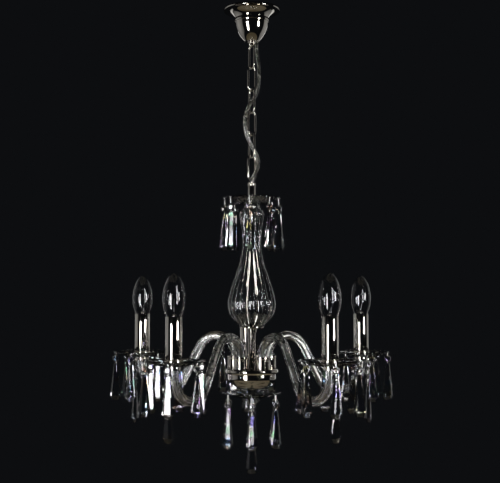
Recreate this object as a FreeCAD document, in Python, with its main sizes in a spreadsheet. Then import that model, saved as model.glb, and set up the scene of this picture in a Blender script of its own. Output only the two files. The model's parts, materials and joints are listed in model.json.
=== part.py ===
import FreeCAD
import Part
import math
import os
import re

import Sketcher
from FreeCAD import Placement, Rotation, Vector

# A five-arm crystal chandelier on a chain, in millimetres. The origin is the middle of the
# ceiling face of its canopy, +Z is up, and everything hangs below z = 0. A "depth" is a
# distance below the ceiling.

LINKS = 6
ARM_TURNS = [92.5, 18.0, 162.0, -54.0, -126.0]
CHAIN_TURN = 35.0  # degrees from +X to the plane of the canopy loop and the even links
VASE_PANELS = 20
ARM_RIBS = 12
BORE_SIDES = 6
RIM_DROP_COUNT = 6
TOP_DROP_COUNT = 8
RIM_DROPS_START = 30.0  # degrees from outwards to the first drop of a rim
TOP_DROPS_START = 40.0
DROPS_TURN = -90.0  # degrees: the rim drops hang with their broad sides to the front
SWAY_TURN = 12.0  # degrees that each is turned on its wire, to the left and right by turns

SIZES = [
    ("canopy_radius", 48.5, "canopy flange, radius"),
    ("flange_thick", 4, "canopy flange, height of its edge"),
    ("flange_lip", 2, "canopy flange, flat lip inside the edge"),
    ("shell_height", 17, "canopy shell, ceiling to band"),
    ("cove_radius", 20, "canopy shell, radius of its concave side"),
    ("canopy_wall", 1.2, "canopy sheet thickness"),
    ("band_radius", 30, "canopy band, radius"),
    ("band_height", 6, "canopy band, height"),
    ("band_step", 1.5, "step from the band to the bowl"),
    ("cup_height", 40, "canopy cup, height with its band"),
    ("cup_floor", 12, "canopy cup, radius of its flat floor"),
    ("cup_curve", 50, "canopy cup, radius of its side"),
    ("nipple_radius", 5, "threaded nipple, radius"),
    ("nipple_bore", 3, "threaded nipple, bore radius"),
    ("fit_gap", 0.3, "clearance of pieces that pass through each other"),
    ("outlet_gap", 0.5, "clearance of the cable in the canopy's hole"),
    ("bracket_length", 78, "ceiling bracket, length"),
    ("bracket_width", 15, "ceiling bracket, width"),
    ("bracket_thick", 1.5, "ceiling bracket, thickness"),
    ("screw_spacing", 60, "ceiling screws, distance apart"),
    ("screw_hole", 2.5, "ceiling screw hole, radius"),
    ("collar_radius", 7, "canopy collar, radius"),
    ("collar_height", 3, "canopy collar, height"),
    ("collar_floor", 1, "canopy collar, thickness under the nipple"),
    ("loop_bend", 4.5, "canopy loop, radius of its wire's middle line"),
    ("loop_drop", 5.6, "canopy loop, collar to the wire's middle"),
    ("link_wire", 3, "chain wire diameter"),
    ("link_length", 45.2, "chain link, outer length"),
    ("link_width", 18, "chain link, outer width"),
    ("hang_gap", 0.3, "clearance where one link hangs in the next"),
    ("block_size", 12, "terminal block, width and length"),
    ("block_height", 14, "terminal block, height"),
    ("cable_radius", 3, "power cable, radius"),
    ("eye_bend", 5, "stem eye, radius of its wire's middle line"),
    ("eye_rise", 7.8, "stem eye, top wire to the cap"),
    ("cap_radius", 6.8, "stem cap, radius"),
    ("cap_height", 5.5, "stem cap, height"),
    ("gland_radius", 3.8, "cable gland on the stem cap, radius"),
    ("gland_length", 5, "cable gland, length"),
    ("tube_radius", 6.2, "stem tube, radius"),
    ("tube_bore", 5, "stem tube, bore radius"),
    ("rod_radius", 3.5, "tie rod, radius"),
    ("rod_end", 4, "tie rod, length inside the finial"),
    ("dish_radius", 49.5, "glass dish, radius"),
    ("dish_edge", 2, "glass dish, thickness at its rim"),
    ("dish_lip", 6, "glass dish, width of its flat rim"),
    ("dish_floor", 3, "glass dish, thickness of its floor"),
    ("dish_curve", 70, "glass dish, radius of its bowl"),
    ("dish_flat", 13, "glass dish, radius of its flat floor"),
    ("top_dish_drop", 21, "stem cap to the top dish's rim"),
    ("top_dish_deep", 14, "top dish, rim to the underside of its floor"),
    ("top_dish_foot", 4, "top dish, height of its foot"),
    ("arm_dish_deep", 9.5, "arm dish, rim to the underside of its floor"),
    ("bottom_dish_deep", 10, "bottom dish, rim to the underside of its floor"),
    ("button_radius", 12, "glass button on the top dish, radius"),
    ("button_height", 8, "glass button on the top dish, height"),
    ("under_button_radius", 13, "glass button under the bottom dish, radius"),
    ("under_button_height", 8, "glass button under the bottom dish, height"),
    ("vase_wall", 2.6, "vase, wall thickness"),
    ("mouth_radius", 14, "vase mouth, radius"),
    ("shoulder_level", 9.5, "vase mouth to shoulder"),
    ("shoulder_radius", 21.3, "vase shoulder, radius"),
    ("upper_neck_level", 62, "vase mouth to the top of its neck"),
    ("lower_neck_level", 72, "vase mouth to the bottom of its neck"),
    ("neck_radius", 15.9, "vase neck, radius"),
    ("flare_rise", 88.5, "vase foot to the middle of its flare"),
    ("flare_radius", 27.5, "vase flare, radius"),
    ("swell_rise", 52.5, "vase foot to the top of its belly"),
    ("swell_radius", 38.7, "vase, radius at the top of its belly"),
    ("belly_rise", 40.5, "vase foot to its widest place"),
    ("belly_radius", 41, "vase belly, radius"),
    ("under_rise", 25.5, "vase foot to under its belly"),
    ("under_radius", 38.6, "vase, radius under its belly"),
    ("taper_rise", 12.5, "vase foot to the taper over it"),
    ("taper_radius", 31, "vase, radius of the taper over its foot"),
    ("vase_height", 203, "vase, height"),
    ("foot_radius", 20, "vase foot, radius"),
    ("seat_radius", 20.5, "vase seat, radius"),
    ("seat_edge", 1.6, "vase seat, thickness of its edge"),
    ("seat_slope", 2.6, "vase seat, height of its slope"),
    ("seat_collar_radius", 8, "vase seat, radius of its collar"),
    ("seat_height", 9.5, "vase seat, height"),
    ("hub_drop", 71, "vase foot to hub"),
    ("hub_radius", 45, "hub plate, radius"),
    ("hub_thick", 9, "hub plate, thickness"),
    ("hub_chamfer", 2, "hub plate, bevel of its top edge"),
    ("bowl_radius", 41, "hub bowl, radius"),
    ("bowl_side", 9, "hub bowl, height of its straight side"),
    ("bowl_waist_radius", 34, "hub bowl, radius at half its taper"),
    ("bowl_waist_level", 17, "hub plate to half the hub bowl's taper"),
    ("bowl_end_radius", 25, "hub bowl, radius at its lower edge"),
    ("bowl_end_level", 24, "hub plate to the hub bowl's lower edge"),
    ("bowl_wall", 1.5, "hub bowl, wall thickness"),
    ("neck_tube_radius", 7, "hub bowl's neck, radius"),
    ("neck_tube_level", 38, "hub plate to the end of the hub bowl's neck"),
    ("socket_circle", 30, "arm sockets, distance from the middle"),
    ("socket_radius", 13, "arm socket, radius"),
    ("socket_waist", 11.6, "arm socket, radius of its waist"),
    ("socket_height", 21, "arm socket, height"),
    ("socket_bead", 4, "arm socket, height of its end beads"),
    ("socket_cove", 2, "arm socket, height of the slope to its waist"),
    ("arm_radius", 7.5, "glass arm, radius over its ribs"),
    ("arm_bore", 3.4, "glass arm, radius of its bore"),
    ("wire_radius", 1.7, "wires in an arm, radius"),
    ("arm_top_bend", 34, "glass arm, radius of its upper bend"),
    ("arm_low_bend", 40, "glass arm, radius of its lower bend"),
    ("arm_end_bend", 44, "glass arm, radius of its last bend"),
    ("arm_sag", 42, "glass arm, hub to its lowest middle line"),
    ("arm_reach", 204, "candle's distance from the middle"),
    ("arm_rise", 14, "glass arm, its end above the hub plate"),
    ("ferrule_radius", 11, "candle cup's ferrule, radius"),
    ("ferrule_height", 4.5, "candle cup's ferrule, height round the arm"),
    ("ferrule_floor", 1.5, "candle cup's floor over the arm"),
    ("cup_neck_radius", 5.7, "candle cup's neck through the dish, radius"),
    ("pan_radius", 16, "candle cup's pan, radius"),
    ("pan_floor", 1.5, "candle cup's pan, thickness of its floor"),
    ("pan_height", 7, "candle cup's pan, height"),
    ("lug_reach", 15.5, "pendant lug's end, distance from the candle's middle"),
    ("lug_width", 4, "pendant lug, width"),
    ("lug_height", 2.5, "pendant lug, height"),
    ("sleeve_radius", 13, "candle sleeve, radius"),
    ("sleeve_wall", 1, "candle sleeve, wall thickness"),
    ("sleeve_height", 71.5, "candle sleeve, height"),
    ("holder_radius", 10.5, "lampholder, radius"),
    ("holder_stem_radius", 5, "lampholder stem, radius"),
    ("holder_stem_height", 30, "lampholder stem, height"),
    ("holder_height", 55.5, "lampholder, height with its stem"),
    ("cap_contact", 3.5, "lamp's end contact, radius"),
    ("screw_radius", 6.9, "lamp's screw cap, radius"),
    ("screw_length", 17, "lamp's screw cap, length"),
    ("screw_taper", 3, "lamp's screw cap, height of its end cone"),
    ("lamp_sink", 33, "length of the lamp inside its sleeve"),
    ("lamp_mouth_radius", 11.5, "lamp's radius at the sleeve's mouth"),
    ("lamp_belly_radius", 17.5, "lamp's largest radius"),
    ("lamp_belly_level", 58, "lamp's contact to its widest place"),
    ("lamp_length", 100, "lamp, whole length"),
    ("lamp_tip_radius", 1.6, "lamp's tip, radius"),
    ("lamp_neck_curve", 60, "lamp, radius of its side under the belly"),
    ("lamp_flame_curve", 62, "lamp, radius of its side over the belly"),
    ("drop_circle", 46.5, "rim drops, distance from the dish's middle"),
    ("pin_size", 1, "drop pins, thickness"),
    ("pin_gap", 0.1, "clearance at each end of a pin"),
    ("bead_radius", 6, "octagon bead, radius"),
    ("bead_half", 3, "octagon bead, half its thickness"),
    ("bead_face", 4, "octagon bead, radius of its flat face"),
    ("arm_bead_drop", 12, "arm dish's rim to the middle of a bead"),
    ("top_bead_drop", 19, "top dish's rim to the middle of a bead"),
    ("bottom_bead_drop", 20, "bottom dish's rim to the middle of a bead"),
    ("prism_space", 1.8, "bead to prism"),
    ("prism_length", 64, "prism, length"),
    ("prism_head_width", 7, "prism, width at its top"),
    ("prism_head_thick", 5, "prism, thickness at its top"),
    ("prism_width", 19, "prism, largest width"),
    ("prism_thick", 10, "prism, largest thickness"),
    ("prism_wide_level", 54.5, "prism, top to its widest place"),
    ("prism_end_width", 7.5, "prism, width of its blunt end"),
    ("prism_end_thick", 4, "prism, thickness of its blunt end"),
    ("pendant_radius", 7, "pendant bead, radius"),
    ("pendant_face", 4.8, "pendant bead, radius of its flat face"),
    ("pendant_half", 4, "pendant bead, half its thickness"),
    ("pendant_circle", 13, "pendant's distance from the candle's middle"),
    ("pendant_space", 1.5, "between the pieces of a pendant"),
    ("finial_radius", 7, "finial, radius of its collar"),
    ("finial_collar", 3, "finial, height of its collar"),
    ("finial_waist", 4.5, "finial, radius of its stem"),
    ("finial_waist_level", 5, "finial, top to its stem"),
    ("finial_stem_level", 8, "finial, top to the end of its stem"),
    ("finial_tip", 2.5, "finial, radius of its tip"),
    ("finial_height", 10, "finial, height"),
]

# What follows from those sizes, each written once.
DERIVED = {
    "half_wire": "link_wire / 2",
    "link_pitch": "link_length - 2 * link_wire - hang_gap",
    "link_bend": "(link_width - link_wire) / 2",
    "link_leg": "(link_length - link_wire) / 2 - link_bend",
    "canopy_depth": "shell_height + cup_height",
    "collar_depth": "canopy_depth + collar_height",
    "loop_depth": "collar_depth + loop_drop",
    "chain_depth": f"loop_depth + {LINKS} * link_pitch",
    "eye_depth": "chain_depth - link_wire - hang_gap",
    "cap_depth": "eye_depth + eye_rise",
    "tube_depth": "cap_depth + cap_height",
    "stem_hole": "tube_radius + fit_gap",
    "rod_hole": "rod_radius + fit_gap",
    "top_rim_depth": "tube_depth + top_dish_drop",
    "vase_depth": "top_rim_depth + top_dish_deep + top_dish_foot",
    "foot_depth": "vase_depth + vase_height",
    "hub_depth": "foot_depth + hub_drop",
    "bowl_depth": "hub_depth + hub_thick",
    "bottom_floor_depth": "bowl_depth + neck_tube_level + dish_floor",
    "bottom_rim_depth": "bottom_floor_depth - bottom_dish_deep",
    "finial_depth": "bottom_floor_depth + under_button_height",
    "arm_end_depth": "hub_depth - arm_rise",
    "dish_seat_depth": "arm_end_depth - ferrule_floor",
    "arm_rim_depth": "dish_seat_depth - arm_dish_deep",
    "pan_level": "ferrule_floor + dish_floor + fit_gap",
    "sleeve_depth": "arm_end_depth - pan_level - pan_floor",
    "sleeve_top_depth": "sleeve_depth - sleeve_height",
    "lamp_depth": "sleeve_top_depth + lamp_sink",
    "pan_bore": "sleeve_radius + fit_gap",
    "holder_well": "holder_height - (sleeve_depth - lamp_depth - fit_gap)",
    "pendant_pivot_depth": "arm_end_depth + ferrule_height + fit_gap",
    "pendant_arm": "arm_reach + pendant_circle",
    "bottom_pivot_depth": "finial_depth + finial_height + fit_gap",
}

# The cable's middle line, chosen by hand: out of the terminal block, through the canopy's
# floor, down the chain, through the third link and back through the fifth, into the gland.
CABLE_ROUTE = [
    (12.0, 9.2, -18.0),
    (12.0, 9.2, -32.0),
    (9.9, 7.3, -47.0),
    (8.2, 6.3, -62.0),
    (9.6, 6.6, -78.0),
    (12.0, 8.3, -96.0),
    (12.6, 9.0, -115.0),
    (12.1, 8.6, -134.0),
    (7.6, 5.2, -150.0),
    (-0.3, -0.4, -162.5),
    (-7.6, -5.1, -175.0),
    (-11.7, -8.2, -190.0),
    (-11.9, -8.3, -208.0),
    (-8.7, -6.4, -224.5),
    (-0.5, -0.2, -239.0),
    (7.5, 5.4, -251.5),
    (12.2, 4.9, -266.0),
    (10.0, -2.2, -280.0),
    (3.6, -7.9, -291.5),
    (-0.8, -8.6, -302.4),
]
CABLE_HOLE = (8.95, 6.75)  # where the cable passes the canopy's floor
BLOCK_PLACE = (12.5, 9.4)  # the terminal block's middle
RADIUS_SHARE = 0.45  # of the shorter run, which each bend of the cable may use
CABLE_SIDES = 10
WIRE_SIDES = 10  # of the chain's wire
PIN_TURN = 45.0  # degrees, which sets a square section's flats level
BEAD_TURN = 22.5  # degrees, which sets an octagon bead's flats level
BUTTON_RINGS = [("0", "0.8"), ("0.35", "1"), ("0.65", "1"), ("1", "0.8")]  # shares of height, radius

doc = FreeCAD.newDocument("chandelier")
sheet = doc.addObject("Spreadsheet::Sheet", "Sizes")
for row, (alias, number, meaning) in enumerate(SIZES, start=1):
    sheet.set(f"A{row}", meaning)
    sheet.set(f"B{row}", str(number))
    sheet.setAlias(f"B{row}", alias)
doc.recompute()

ALIASES = {alias for alias, _, _ in SIZES}
kept = {}


def full(text):
    """The expression with every derived name written out and every alias naming its sheet."""
    def swap(match):
        word = match.group(0)
        if word in DERIVED:
            return f"({full(DERIVED[word])})"
        return f"Sizes.{word}" if word in ALIASES else word

    return re.sub(r"[a-z][a-z_]*", swap, text)


def value(text):
    """The number that an expression over the sheet gives now."""
    return float(sheet.evalExpression(full(text)))


def bind(thing, prop, text):
    thing.setExpression(prop, full(text))


def keep(thing, label):
    """Marks an object as a sub-part: its label is its node's name."""
    thing.Label = label
    kept[label] = thing
    return thing


def plane(body, role):
    return next(f for f in body.Origin.OriginFeatures if f.Role == role)


def new_body(name):
    return doc.addObject("PartDesign::Body", name)


def new_sketch(body, name, role, level=None):
    """A sketch on one of the body's own planes, lifted to a level if one is given."""
    sketch = body.newObject("Sketcher::SketchObject", name)
    sketch.AttachmentSupport = (plane(body, role), [""])
    sketch.MapMode = "FlatFace"
    if level is not None:
        bind(sketch, "AttachmentOffset.Base.z", level)
    return sketch


def tie(sketch, kind, geometry, place, text):
    """Ties one coordinate of a point of an edge to an expression."""
    rule = Sketcher.Constraint(kind, -1, 1, geometry, place, value(text))
    bind(sketch, f"Constraints[{sketch.addConstraint(rule)}]", text)


def pin_point(sketch, geometry, place, x_text, y_text):
    tie(sketch, "DistanceX", geometry, place, x_text)
    tie(sketch, "DistanceY", geometry, place, y_text)


def set_radius(sketch, geometry, text):
    rule = Sketcher.Constraint("Radius", geometry, value(text))
    bind(sketch, f"Constraints[{sketch.addConstraint(rule)}]", text)


def arc_between(a, b, radius, side):
    """A round edge from a to b with its middle on the left or right of the way, as a circle's
    arc, and the number of the end that lies at a."""
    way = b - a
    half = way.Length / 2
    left = Vector(-way.y, way.x, 0).normalize()
    reach = math.sqrt(radius * radius - half * half)
    middle = (a + b) / 2 + left * (reach if side == "left" else -reach)
    first, last = (a, b) if side == "left" else (b, a)
    start = math.atan2(first.y - middle.y, first.x - middle.x)
    stop = math.atan2(last.y - middle.y, last.x - middle.x)
    circle = Part.Circle(middle, Vector(0, 0, 1), radius)
    return Part.ArcOfCircle(circle, start, stop), 1 if side == "left" else 2


def draw(sketch, outline):
    """A closed outline of (x, y) corners. A corner with two more items starts a round edge:
    its radius and the side on which its middle lies."""
    points = [Vector(value(c[0]), value(c[1]), 0) for c in outline]
    edges = []
    for number, corner in enumerate(outline):
        a, b = points[number], points[(number + 1) % len(points)]
        if len(corner) == 2:
            edges.append((sketch.addGeometry(Part.LineSegment(a, b)), 1))
            continue
        arc, near = arc_between(a, b, value(corner[2]), corner[3])
        index = sketch.addGeometry(arc)
        edges.append((index, near))
        set_radius(sketch, index, corner[2])
    for number, (index, near) in enumerate(edges):
        before, start_of_before = edges[number - 1]
        sketch.addConstraint(Sketcher.Constraint("Coincident", before, 3 - start_of_before, index, near))
        pin_point(sketch, index, near, outline[number][0], outline[number][1])


def hang(thing, depth, reach="0", angle=0.0):
    """Places a piece at a depth, and at a distance from the middle in one direction."""
    thing.Placement = Placement(Vector(), Rotation(Vector(0, 0, 1), angle))
    bind(thing, "Placement.Base.z", f"-({depth})")
    if reach != "0":
        bind(thing, "Placement.Base.x", f"({reach}) * cos({angle})")
        bind(thing, "Placement.Base.y", f"({reach}) * sin({angle})")


def turned(name, outline, depth="0", reach="0", angle=0.0):
    """A piece turned about its own upright axis from an outline of (radius, height)."""
    body = new_body(name)
    sketch = new_sketch(body, f"{name}_outline", "XZ_Plane")
    draw(sketch, outline)
    turning = body.newObject("PartDesign::Revolution", f"{name}_turned")
    turning.Profile = sketch
    turning.ReferenceAxis = (sketch, ["V_Axis"])
    turning.Angle = 360
    body.Tip = turning
    hang(body, depth, reach, angle)
    return body


def plate(name, outline, height, depth, holes=()):
    """A plate of an outline, with round holes of (x, y, radius), its top at a depth."""
    body = new_body(name)
    sketch = new_sketch(body, f"{name}_outline", "XY_Plane")
    draw(sketch, outline)
    for x, y, radius in holes:
        ring = Part.Circle(Vector(value(x), value(y), 0), Vector(0, 0, 1), value(radius))
        index = sketch.addGeometry(ring)
        set_radius(sketch, index, radius)
        pin_point(sketch, index, 3, x, y)
    pad = body.newObject("PartDesign::Pad", f"{name}_pad")
    pad.Profile = sketch
    bind(pad, "Length", height)
    pad.Reversed = True
    body.Tip = pad
    hang(body, depth)
    return body


def copies(label, sources, places):
    """One node of separate solids: copies of pieces at several placements."""
    group = doc.addObject("Part::Feature", label)
    solids = []
    for place in places:
        for source, move in sources:
            solid = source.Shape.copy()
            solid.Placement = place.multiply(move).multiply(source.Placement)
            solids.append(solid)
    group.Shape = Part.makeCompound(solids)
    return keep(group, label)


def spin(angle, reach="0", depth="0"):
    """A placement at a distance from the middle and a depth, turned to face outwards."""
    turn = Rotation(Vector(0, 0, 1), angle)
    return Placement(turn.multVec(Vector(value(reach), 0, 0)) - Vector(0, 0, value(depth)), turn)


# ---- canopy ------------------------------------------------------------------------------

def make_canopy():
    shell_end = "band_radius - band_step"
    keep(turned("canopy_shell", [
        ("canopy_radius", "0"),
        ("canopy_radius", "-flange_thick"),
        ("canopy_radius - flange_lip", "-flange_thick", "cove_radius", "left"),
        (shell_end, "-shell_height"),
        (f"{shell_end} - canopy_wall", "-shell_height", "cove_radius + canopy_wall", "right"),
        ("canopy_radius - flange_lip - canopy_wall / 2", "-flange_thick + canopy_wall"),
        ("canopy_radius - canopy_wall", "-flange_thick + canopy_wall"),
        ("canopy_radius - canopy_wall", "0"),
    ]), "canopy_shell")

    cup = turned("canopy_cup", [
        ("band_radius", "0"),
        ("band_radius", "-band_height"),
        (shell_end, "-band_height", "cup_curve", "right"),
        ("cup_floor", "-cup_height"),
        ("nipple_radius + fit_gap", "-cup_height"),
        ("nipple_radius + fit_gap", "-cup_height + canopy_wall"),
        ("cup_floor", "-cup_height + canopy_wall", "cup_curve - canopy_wall", "left"),
        (f"{shell_end} - canopy_wall", "-band_height"),
        (f"{shell_end} - canopy_wall", "0"),
    ], "shell_height")
    outlet = new_sketch(cup, "canopy_cup_outlet", "XY_Plane")
    ring = Part.Circle(Vector(*CABLE_HOLE, 0), Vector(0, 0, 1), value("cable_radius + outlet_gap"))
    outlet.addGeometry(ring)
    set_radius(outlet, 0, "cable_radius + outlet_gap")
    pin_point(outlet, 0, 3, str(CABLE_HOLE[0]), str(CABLE_HOLE[1]))
    doc.recompute()
    whole = cup.Shape.Volume
    pocket = cup.newObject("PartDesign::Pocket", "canopy_cup_hole")
    pocket.Profile = outlet
    pocket.Type = "ThroughAll"
    cup.Tip = pocket
    doc.recompute()
    if not cup.Shape.Volume < whole:
        raise ValueError("the cable's hole cuts nothing out of the canopy")
    keep(cup, "canopy_cup")

    keep(turned("canopy_nipple", [
        ("nipple_bore", "0"),
        ("nipple_bore", "-(collar_depth - collar_floor)"),
        ("nipple_radius", "-(collar_depth - collar_floor)"),
        ("nipple_radius", "0"),
    ]), "canopy_nipple")

    half_long, half_wide = "bracket_length / 2", "bracket_width / 2"
    keep(plate("ceiling_bracket", [
        (f"-{half_long}", f"-{half_wide}"),
        (half_long, f"-{half_wide}"),
        (half_long, half_wide),
        (f"-{half_long}", half_wide),
    ], "bracket_thick", "0", [
        ("-screw_spacing / 2", "0", "screw_hole"),
        ("screw_spacing / 2", "0", "screw_hole"),
        ("0", "0", "nipple_radius + fit_gap"),
    ]), "ceiling_bracket")

    x, y = BLOCK_PLACE
    side = "block_size / 2"
    keep(plate("terminal_block", [
        (f"{x} - {side}", f"{y} - {side}"),
        (f"{x} + {side}", f"{y} - {side}"),
        (f"{x} + {side}", f"{y} + {side}"),
        (f"{x} - {side}", f"{y} + {side}"),
    ], "block_height", str(-CABLE_ROUTE[0][2]) + " - block_height"), "terminal_block")


def many_sided(sketch, sides, radius, middle, turn=0.0):
    """A regular outline about a middle on the sketch's first axis."""
    outline = []
    for number in range(sides):
        angle = 360.0 * number / sides + turn
        outline.append((f"{middle} + ({radius}) * cos({angle})", f"({radius}) * sin({angle})"))
    draw(sketch, outline)


def ring_of_wire(name, bend, level, rotation, sweep=360.0):
    """A ring of chain wire, or a part of one, with its middle at a level."""
    body = new_body(name)
    section = new_sketch(body, f"{name}_wire", "XZ_Plane")
    many_sided(section, WIRE_SIDES, "half_wire", bend)
    turning = body.newObject("PartDesign::Revolution", f"{name}_turned")
    turning.Profile = section
    turning.ReferenceAxis = (section, ["V_Axis"])
    turning.Angle = sweep
    body.Tip = turning
    body.Placement = Placement(Vector(), rotation)
    bind(body, "Placement.Base.z", level)
    return body


def make_canopy_loop():
    """The collar under the canopy, with the half ring and two short legs that hold the chain."""
    cap = turned("collar_cap", [
        ("0", "-(collar_height - collar_floor)"),
        ("nipple_radius + fit_gap", "-(collar_height - collar_floor)"),
        ("nipple_radius + fit_gap", "0"),
        ("collar_radius", "0"),
        ("collar_radius", "-collar_height"),
        ("0", "-collar_height"),
    ])
    legs = []
    for sign in (-1, 1):
        leg = doc.addObject("Part::Cylinder", f"loop_leg_{'left' if sign < 0 else 'right'}")
        bind(leg, "Radius", "half_wire")
        bind(leg, "Height", "loop_drop - loop_bend + collar_floor / 2")
        bind(leg, "Placement.Base.x", f"{sign} * loop_bend")
        bind(leg, "Placement.Base.z", "-(collar_height + loop_drop - loop_bend)")
        legs.append(leg)
    bend = ring_of_wire("loop_bend_wire", "loop_bend", "-(collar_height + loop_drop - loop_bend)",
                        Rotation(Vector(1, 0, 0), -90), sweep=180.0)
    loop = doc.addObject("Part::MultiFuse", "canopy_collar")
    loop.Shapes = [cap, *legs, bend]
    hang(loop, "canopy_depth", angle=CHAIN_TURN)
    keep(loop, "canopy_collar")


# ---- chain and cable ---------------------------------------------------------------------

def make_link(number):
    """A long oval link of round wire, swept along its own closed middle line."""
    name = f"chain_link_{number}"
    body = new_body(name)
    path = new_sketch(body, f"{name}_line", "XZ_Plane")
    bend, leg = value("link_bend"), value("link_leg")
    right, left = Vector(bend, 0, 0), Vector(-bend, 0, 0)
    lift = Vector(0, leg, 0)
    up = Vector(0, 0, 1)
    path.addGeometry(Part.LineSegment(right, right + lift))
    path.addGeometry(Part.ArcOfCircle(Part.Circle(lift, up, bend), 0, math.pi))
    path.addGeometry(Part.LineSegment(left + lift, left - lift))
    path.addGeometry(Part.ArcOfCircle(Part.Circle(-lift, up, bend), math.pi, 2 * math.pi))
    path.addGeometry(Part.LineSegment(right - lift, right))
    for first, second in ((0, 1), (1, 2), (2, 3), (3, 4)):
        path.addConstraint(Sketcher.Constraint("Coincident", first, 2, second, 1))
    path.addConstraint(Sketcher.Constraint("Coincident", 4, 2, 0, 1))
    pin_point(path, 0, 1, "link_bend", "0")
    tie(path, "DistanceY", 1, 3, "link_leg")
    tie(path, "DistanceY", 3, 3, "-link_leg")
    pin_point(path, 0, 2, "link_bend", "link_leg")
    pin_point(path, 1, 2, "-link_bend", "link_leg")
    pin_point(path, 2, 2, "-link_bend", "-link_leg")
    pin_point(path, 4, 1, "link_bend", "-link_leg")
    section = new_sketch(body, f"{name}_wire", "XY_Plane")
    many_sided(section, WIRE_SIDES, "half_wire", "link_bend")
    pipe = body.newObject("PartDesign::AdditivePipe", f"{name}_pipe")
    pipe.Profile = section
    pipe.Spine = path
    body.Tip = pipe
    turn = CHAIN_TURN - 90 if number % 2 else CHAIN_TURN
    middle = f"loop_depth + ({number} - 0.5) * link_pitch - half_wire - hang_gap / 2"
    hang(body, middle, angle=turn)
    keep(body, name)


def rounded_path(points):
    """Straight runs joined by tangent arcs, and the arcs' radii."""
    edges, radii = [], []
    start = points[0]
    for before, corner, after in zip(points, points[1:], points[2:]):
        back, on = (before - corner), (after - corner)
        turn = math.pi - back.getAngle(on)
        cut = RADIUS_SHARE * min(back.Length, on.Length)
        radii.append(cut / math.tan(turn / 2))
        enter = corner + Vector(back).normalize() * cut
        leave = corner + Vector(on).normalize() * cut
        inward = (Vector(back).normalize() + Vector(on).normalize()).normalize()
        middle = corner + inward * (math.hypot(radii[-1], cut) - radii[-1])
        edges.append(Part.LineSegment(start, enter).toShape())
        edges.append(Part.Arc(enter, middle, leave).toShape())
        start = leave
    edges.append(Part.LineSegment(start, points[-1]).toShape())
    return Part.Wire(edges), radii


def make_cable():
    points = [Vector(*place) for place in CABLE_ROUTE]
    wire, radii = rounded_path(points)
    radius = value("cable_radius")
    way = points[1] - points[0]
    turn = Rotation(Vector(0, 0, 1), way)
    corners = [
        points[0] + turn.multVec(Vector(radius * math.cos(a), radius * math.sin(a), 0))
        for a in (2 * math.pi * k / CABLE_SIDES for k in range(CABLE_SIDES + 1))
    ]
    corners[-1] = corners[0]
    section = Part.Wire(Part.makePolygon(corners))
    cable = doc.addObject("Part::Feature", "power_cable")
    cable.Shape = wire.makePipeShell([section], True, False)
    area = CABLE_SIDES / 2 * radius**2 * math.sin(2 * math.pi / CABLE_SIDES)
    print(f"cable: length {wire.Length:.1f} mm, bend radii {[round(r, 1) for r in radii]}")
    print(f"cable: volume {cable.Shape.Volume:.0f} of {area * wire.Length:.0f} cubic mm")
    keep(cable, "power_cable")


# ---- stem --------------------------------------------------------------------------------

def make_stem():
    cap = doc.addObject("Part::Cylinder", "stem_cap")
    bind(cap, "Radius", "cap_radius")
    bind(cap, "Height", "cap_height")
    bind(cap, "Placement.Base.z", "-tube_depth")
    ring = ring_of_wire("stem_ring", "eye_bend", "-(eye_depth + eye_bend)",
                        Rotation(CHAIN_TURN - 90, 0, 90))
    end, before = Vector(*CABLE_ROUTE[-1]), Vector(*CABLE_ROUTE[-2])
    gland = doc.addObject("Part::Cylinder", "cable_gland")
    bind(gland, "Radius", "gland_radius")
    bind(gland, "Height", "gland_length")
    gland.Placement = Placement(end, Rotation(Vector(0, 0, 1), end - before))
    eye = doc.addObject("Part::MultiFuse", "stem_eye")
    eye.Shapes = [cap, ring, gland]
    keep(eye, "stem_eye")

    keep(turned("stem_tube", [
        ("tube_bore", "-(hub_depth - tube_depth)"),
        ("tube_radius", "-(hub_depth - tube_depth)"),
        ("tube_radius", "0"),
        ("tube_bore", "0"),
    ], "tube_depth"), "stem_tube")

    rod = doc.addObject("Part::Cylinder", "tie_rod")
    bind(rod, "Radius", "rod_radius")
    bind(rod, "Height", "finial_depth + rod_end - tube_depth")
    bind(rod, "Placement.Base.z", "-(finial_depth + rod_end)")
    keep(rod, "tie_rod")


def dish(name, hole, deep, rim_depth, foot=None, reach="0", angle=0.0):
    """A shallow glass dish: its level is its rim, with a flat lip that the drops hang from."""
    lip = "dish_radius - dish_lip"
    outline = [
        ("dish_radius", "0"),
        ("dish_radius", "-dish_edge"),
        (lip, "-dish_edge", "dish_curve", "right"),
        ("dish_flat", f"-{deep}"),
    ]
    if foot:
        outline += [("dish_flat", f"-({deep} + {foot})"), (hole, f"-({deep} + {foot})")]
    else:
        outline += [(hole, f"-{deep}")]
    outline += [
        (hole, f"-({deep} - dish_floor)"),
        ("dish_flat", f"-({deep} - dish_floor)", "dish_curve", "left"),
        (lip, "0"),
    ]
    return keep(turned(name, outline, rim_depth, reach, angle), name)


def prism_button(name, sides, radius, height, hole, depth):
    """A fluted glass button, narrower at both ends, bored for the stem, its top at a depth."""
    rings = []
    for number, (level, share) in enumerate(BUTTON_RINGS):
        ring = doc.addObject("Part::RegularPolygon", f"{name}_ring_{number}")
        ring.Polygon = sides
        bind(ring, "Circumradius", f"{radius} * {share}")
        bind(ring, "Placement.Base.z", f"-{level} * {height}")
        rings.append(ring)
    body = doc.addObject("Part::Loft", f"{name}_glass")
    body.Sections = rings
    body.Solid = True
    body.Ruled = True
    bore = doc.addObject("Part::Cylinder", f"{name}_bore")
    bind(bore, "Radius", hole)
    bind(bore, "Height", f"{height} + 2")
    bind(bore, "Placement.Base.z", f"-{height} - 1")
    button = doc.addObject("Part::Cut", name)
    button.Base = body
    button.Tool = bore
    hang(button, depth)
    return keep(button, name)


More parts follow.
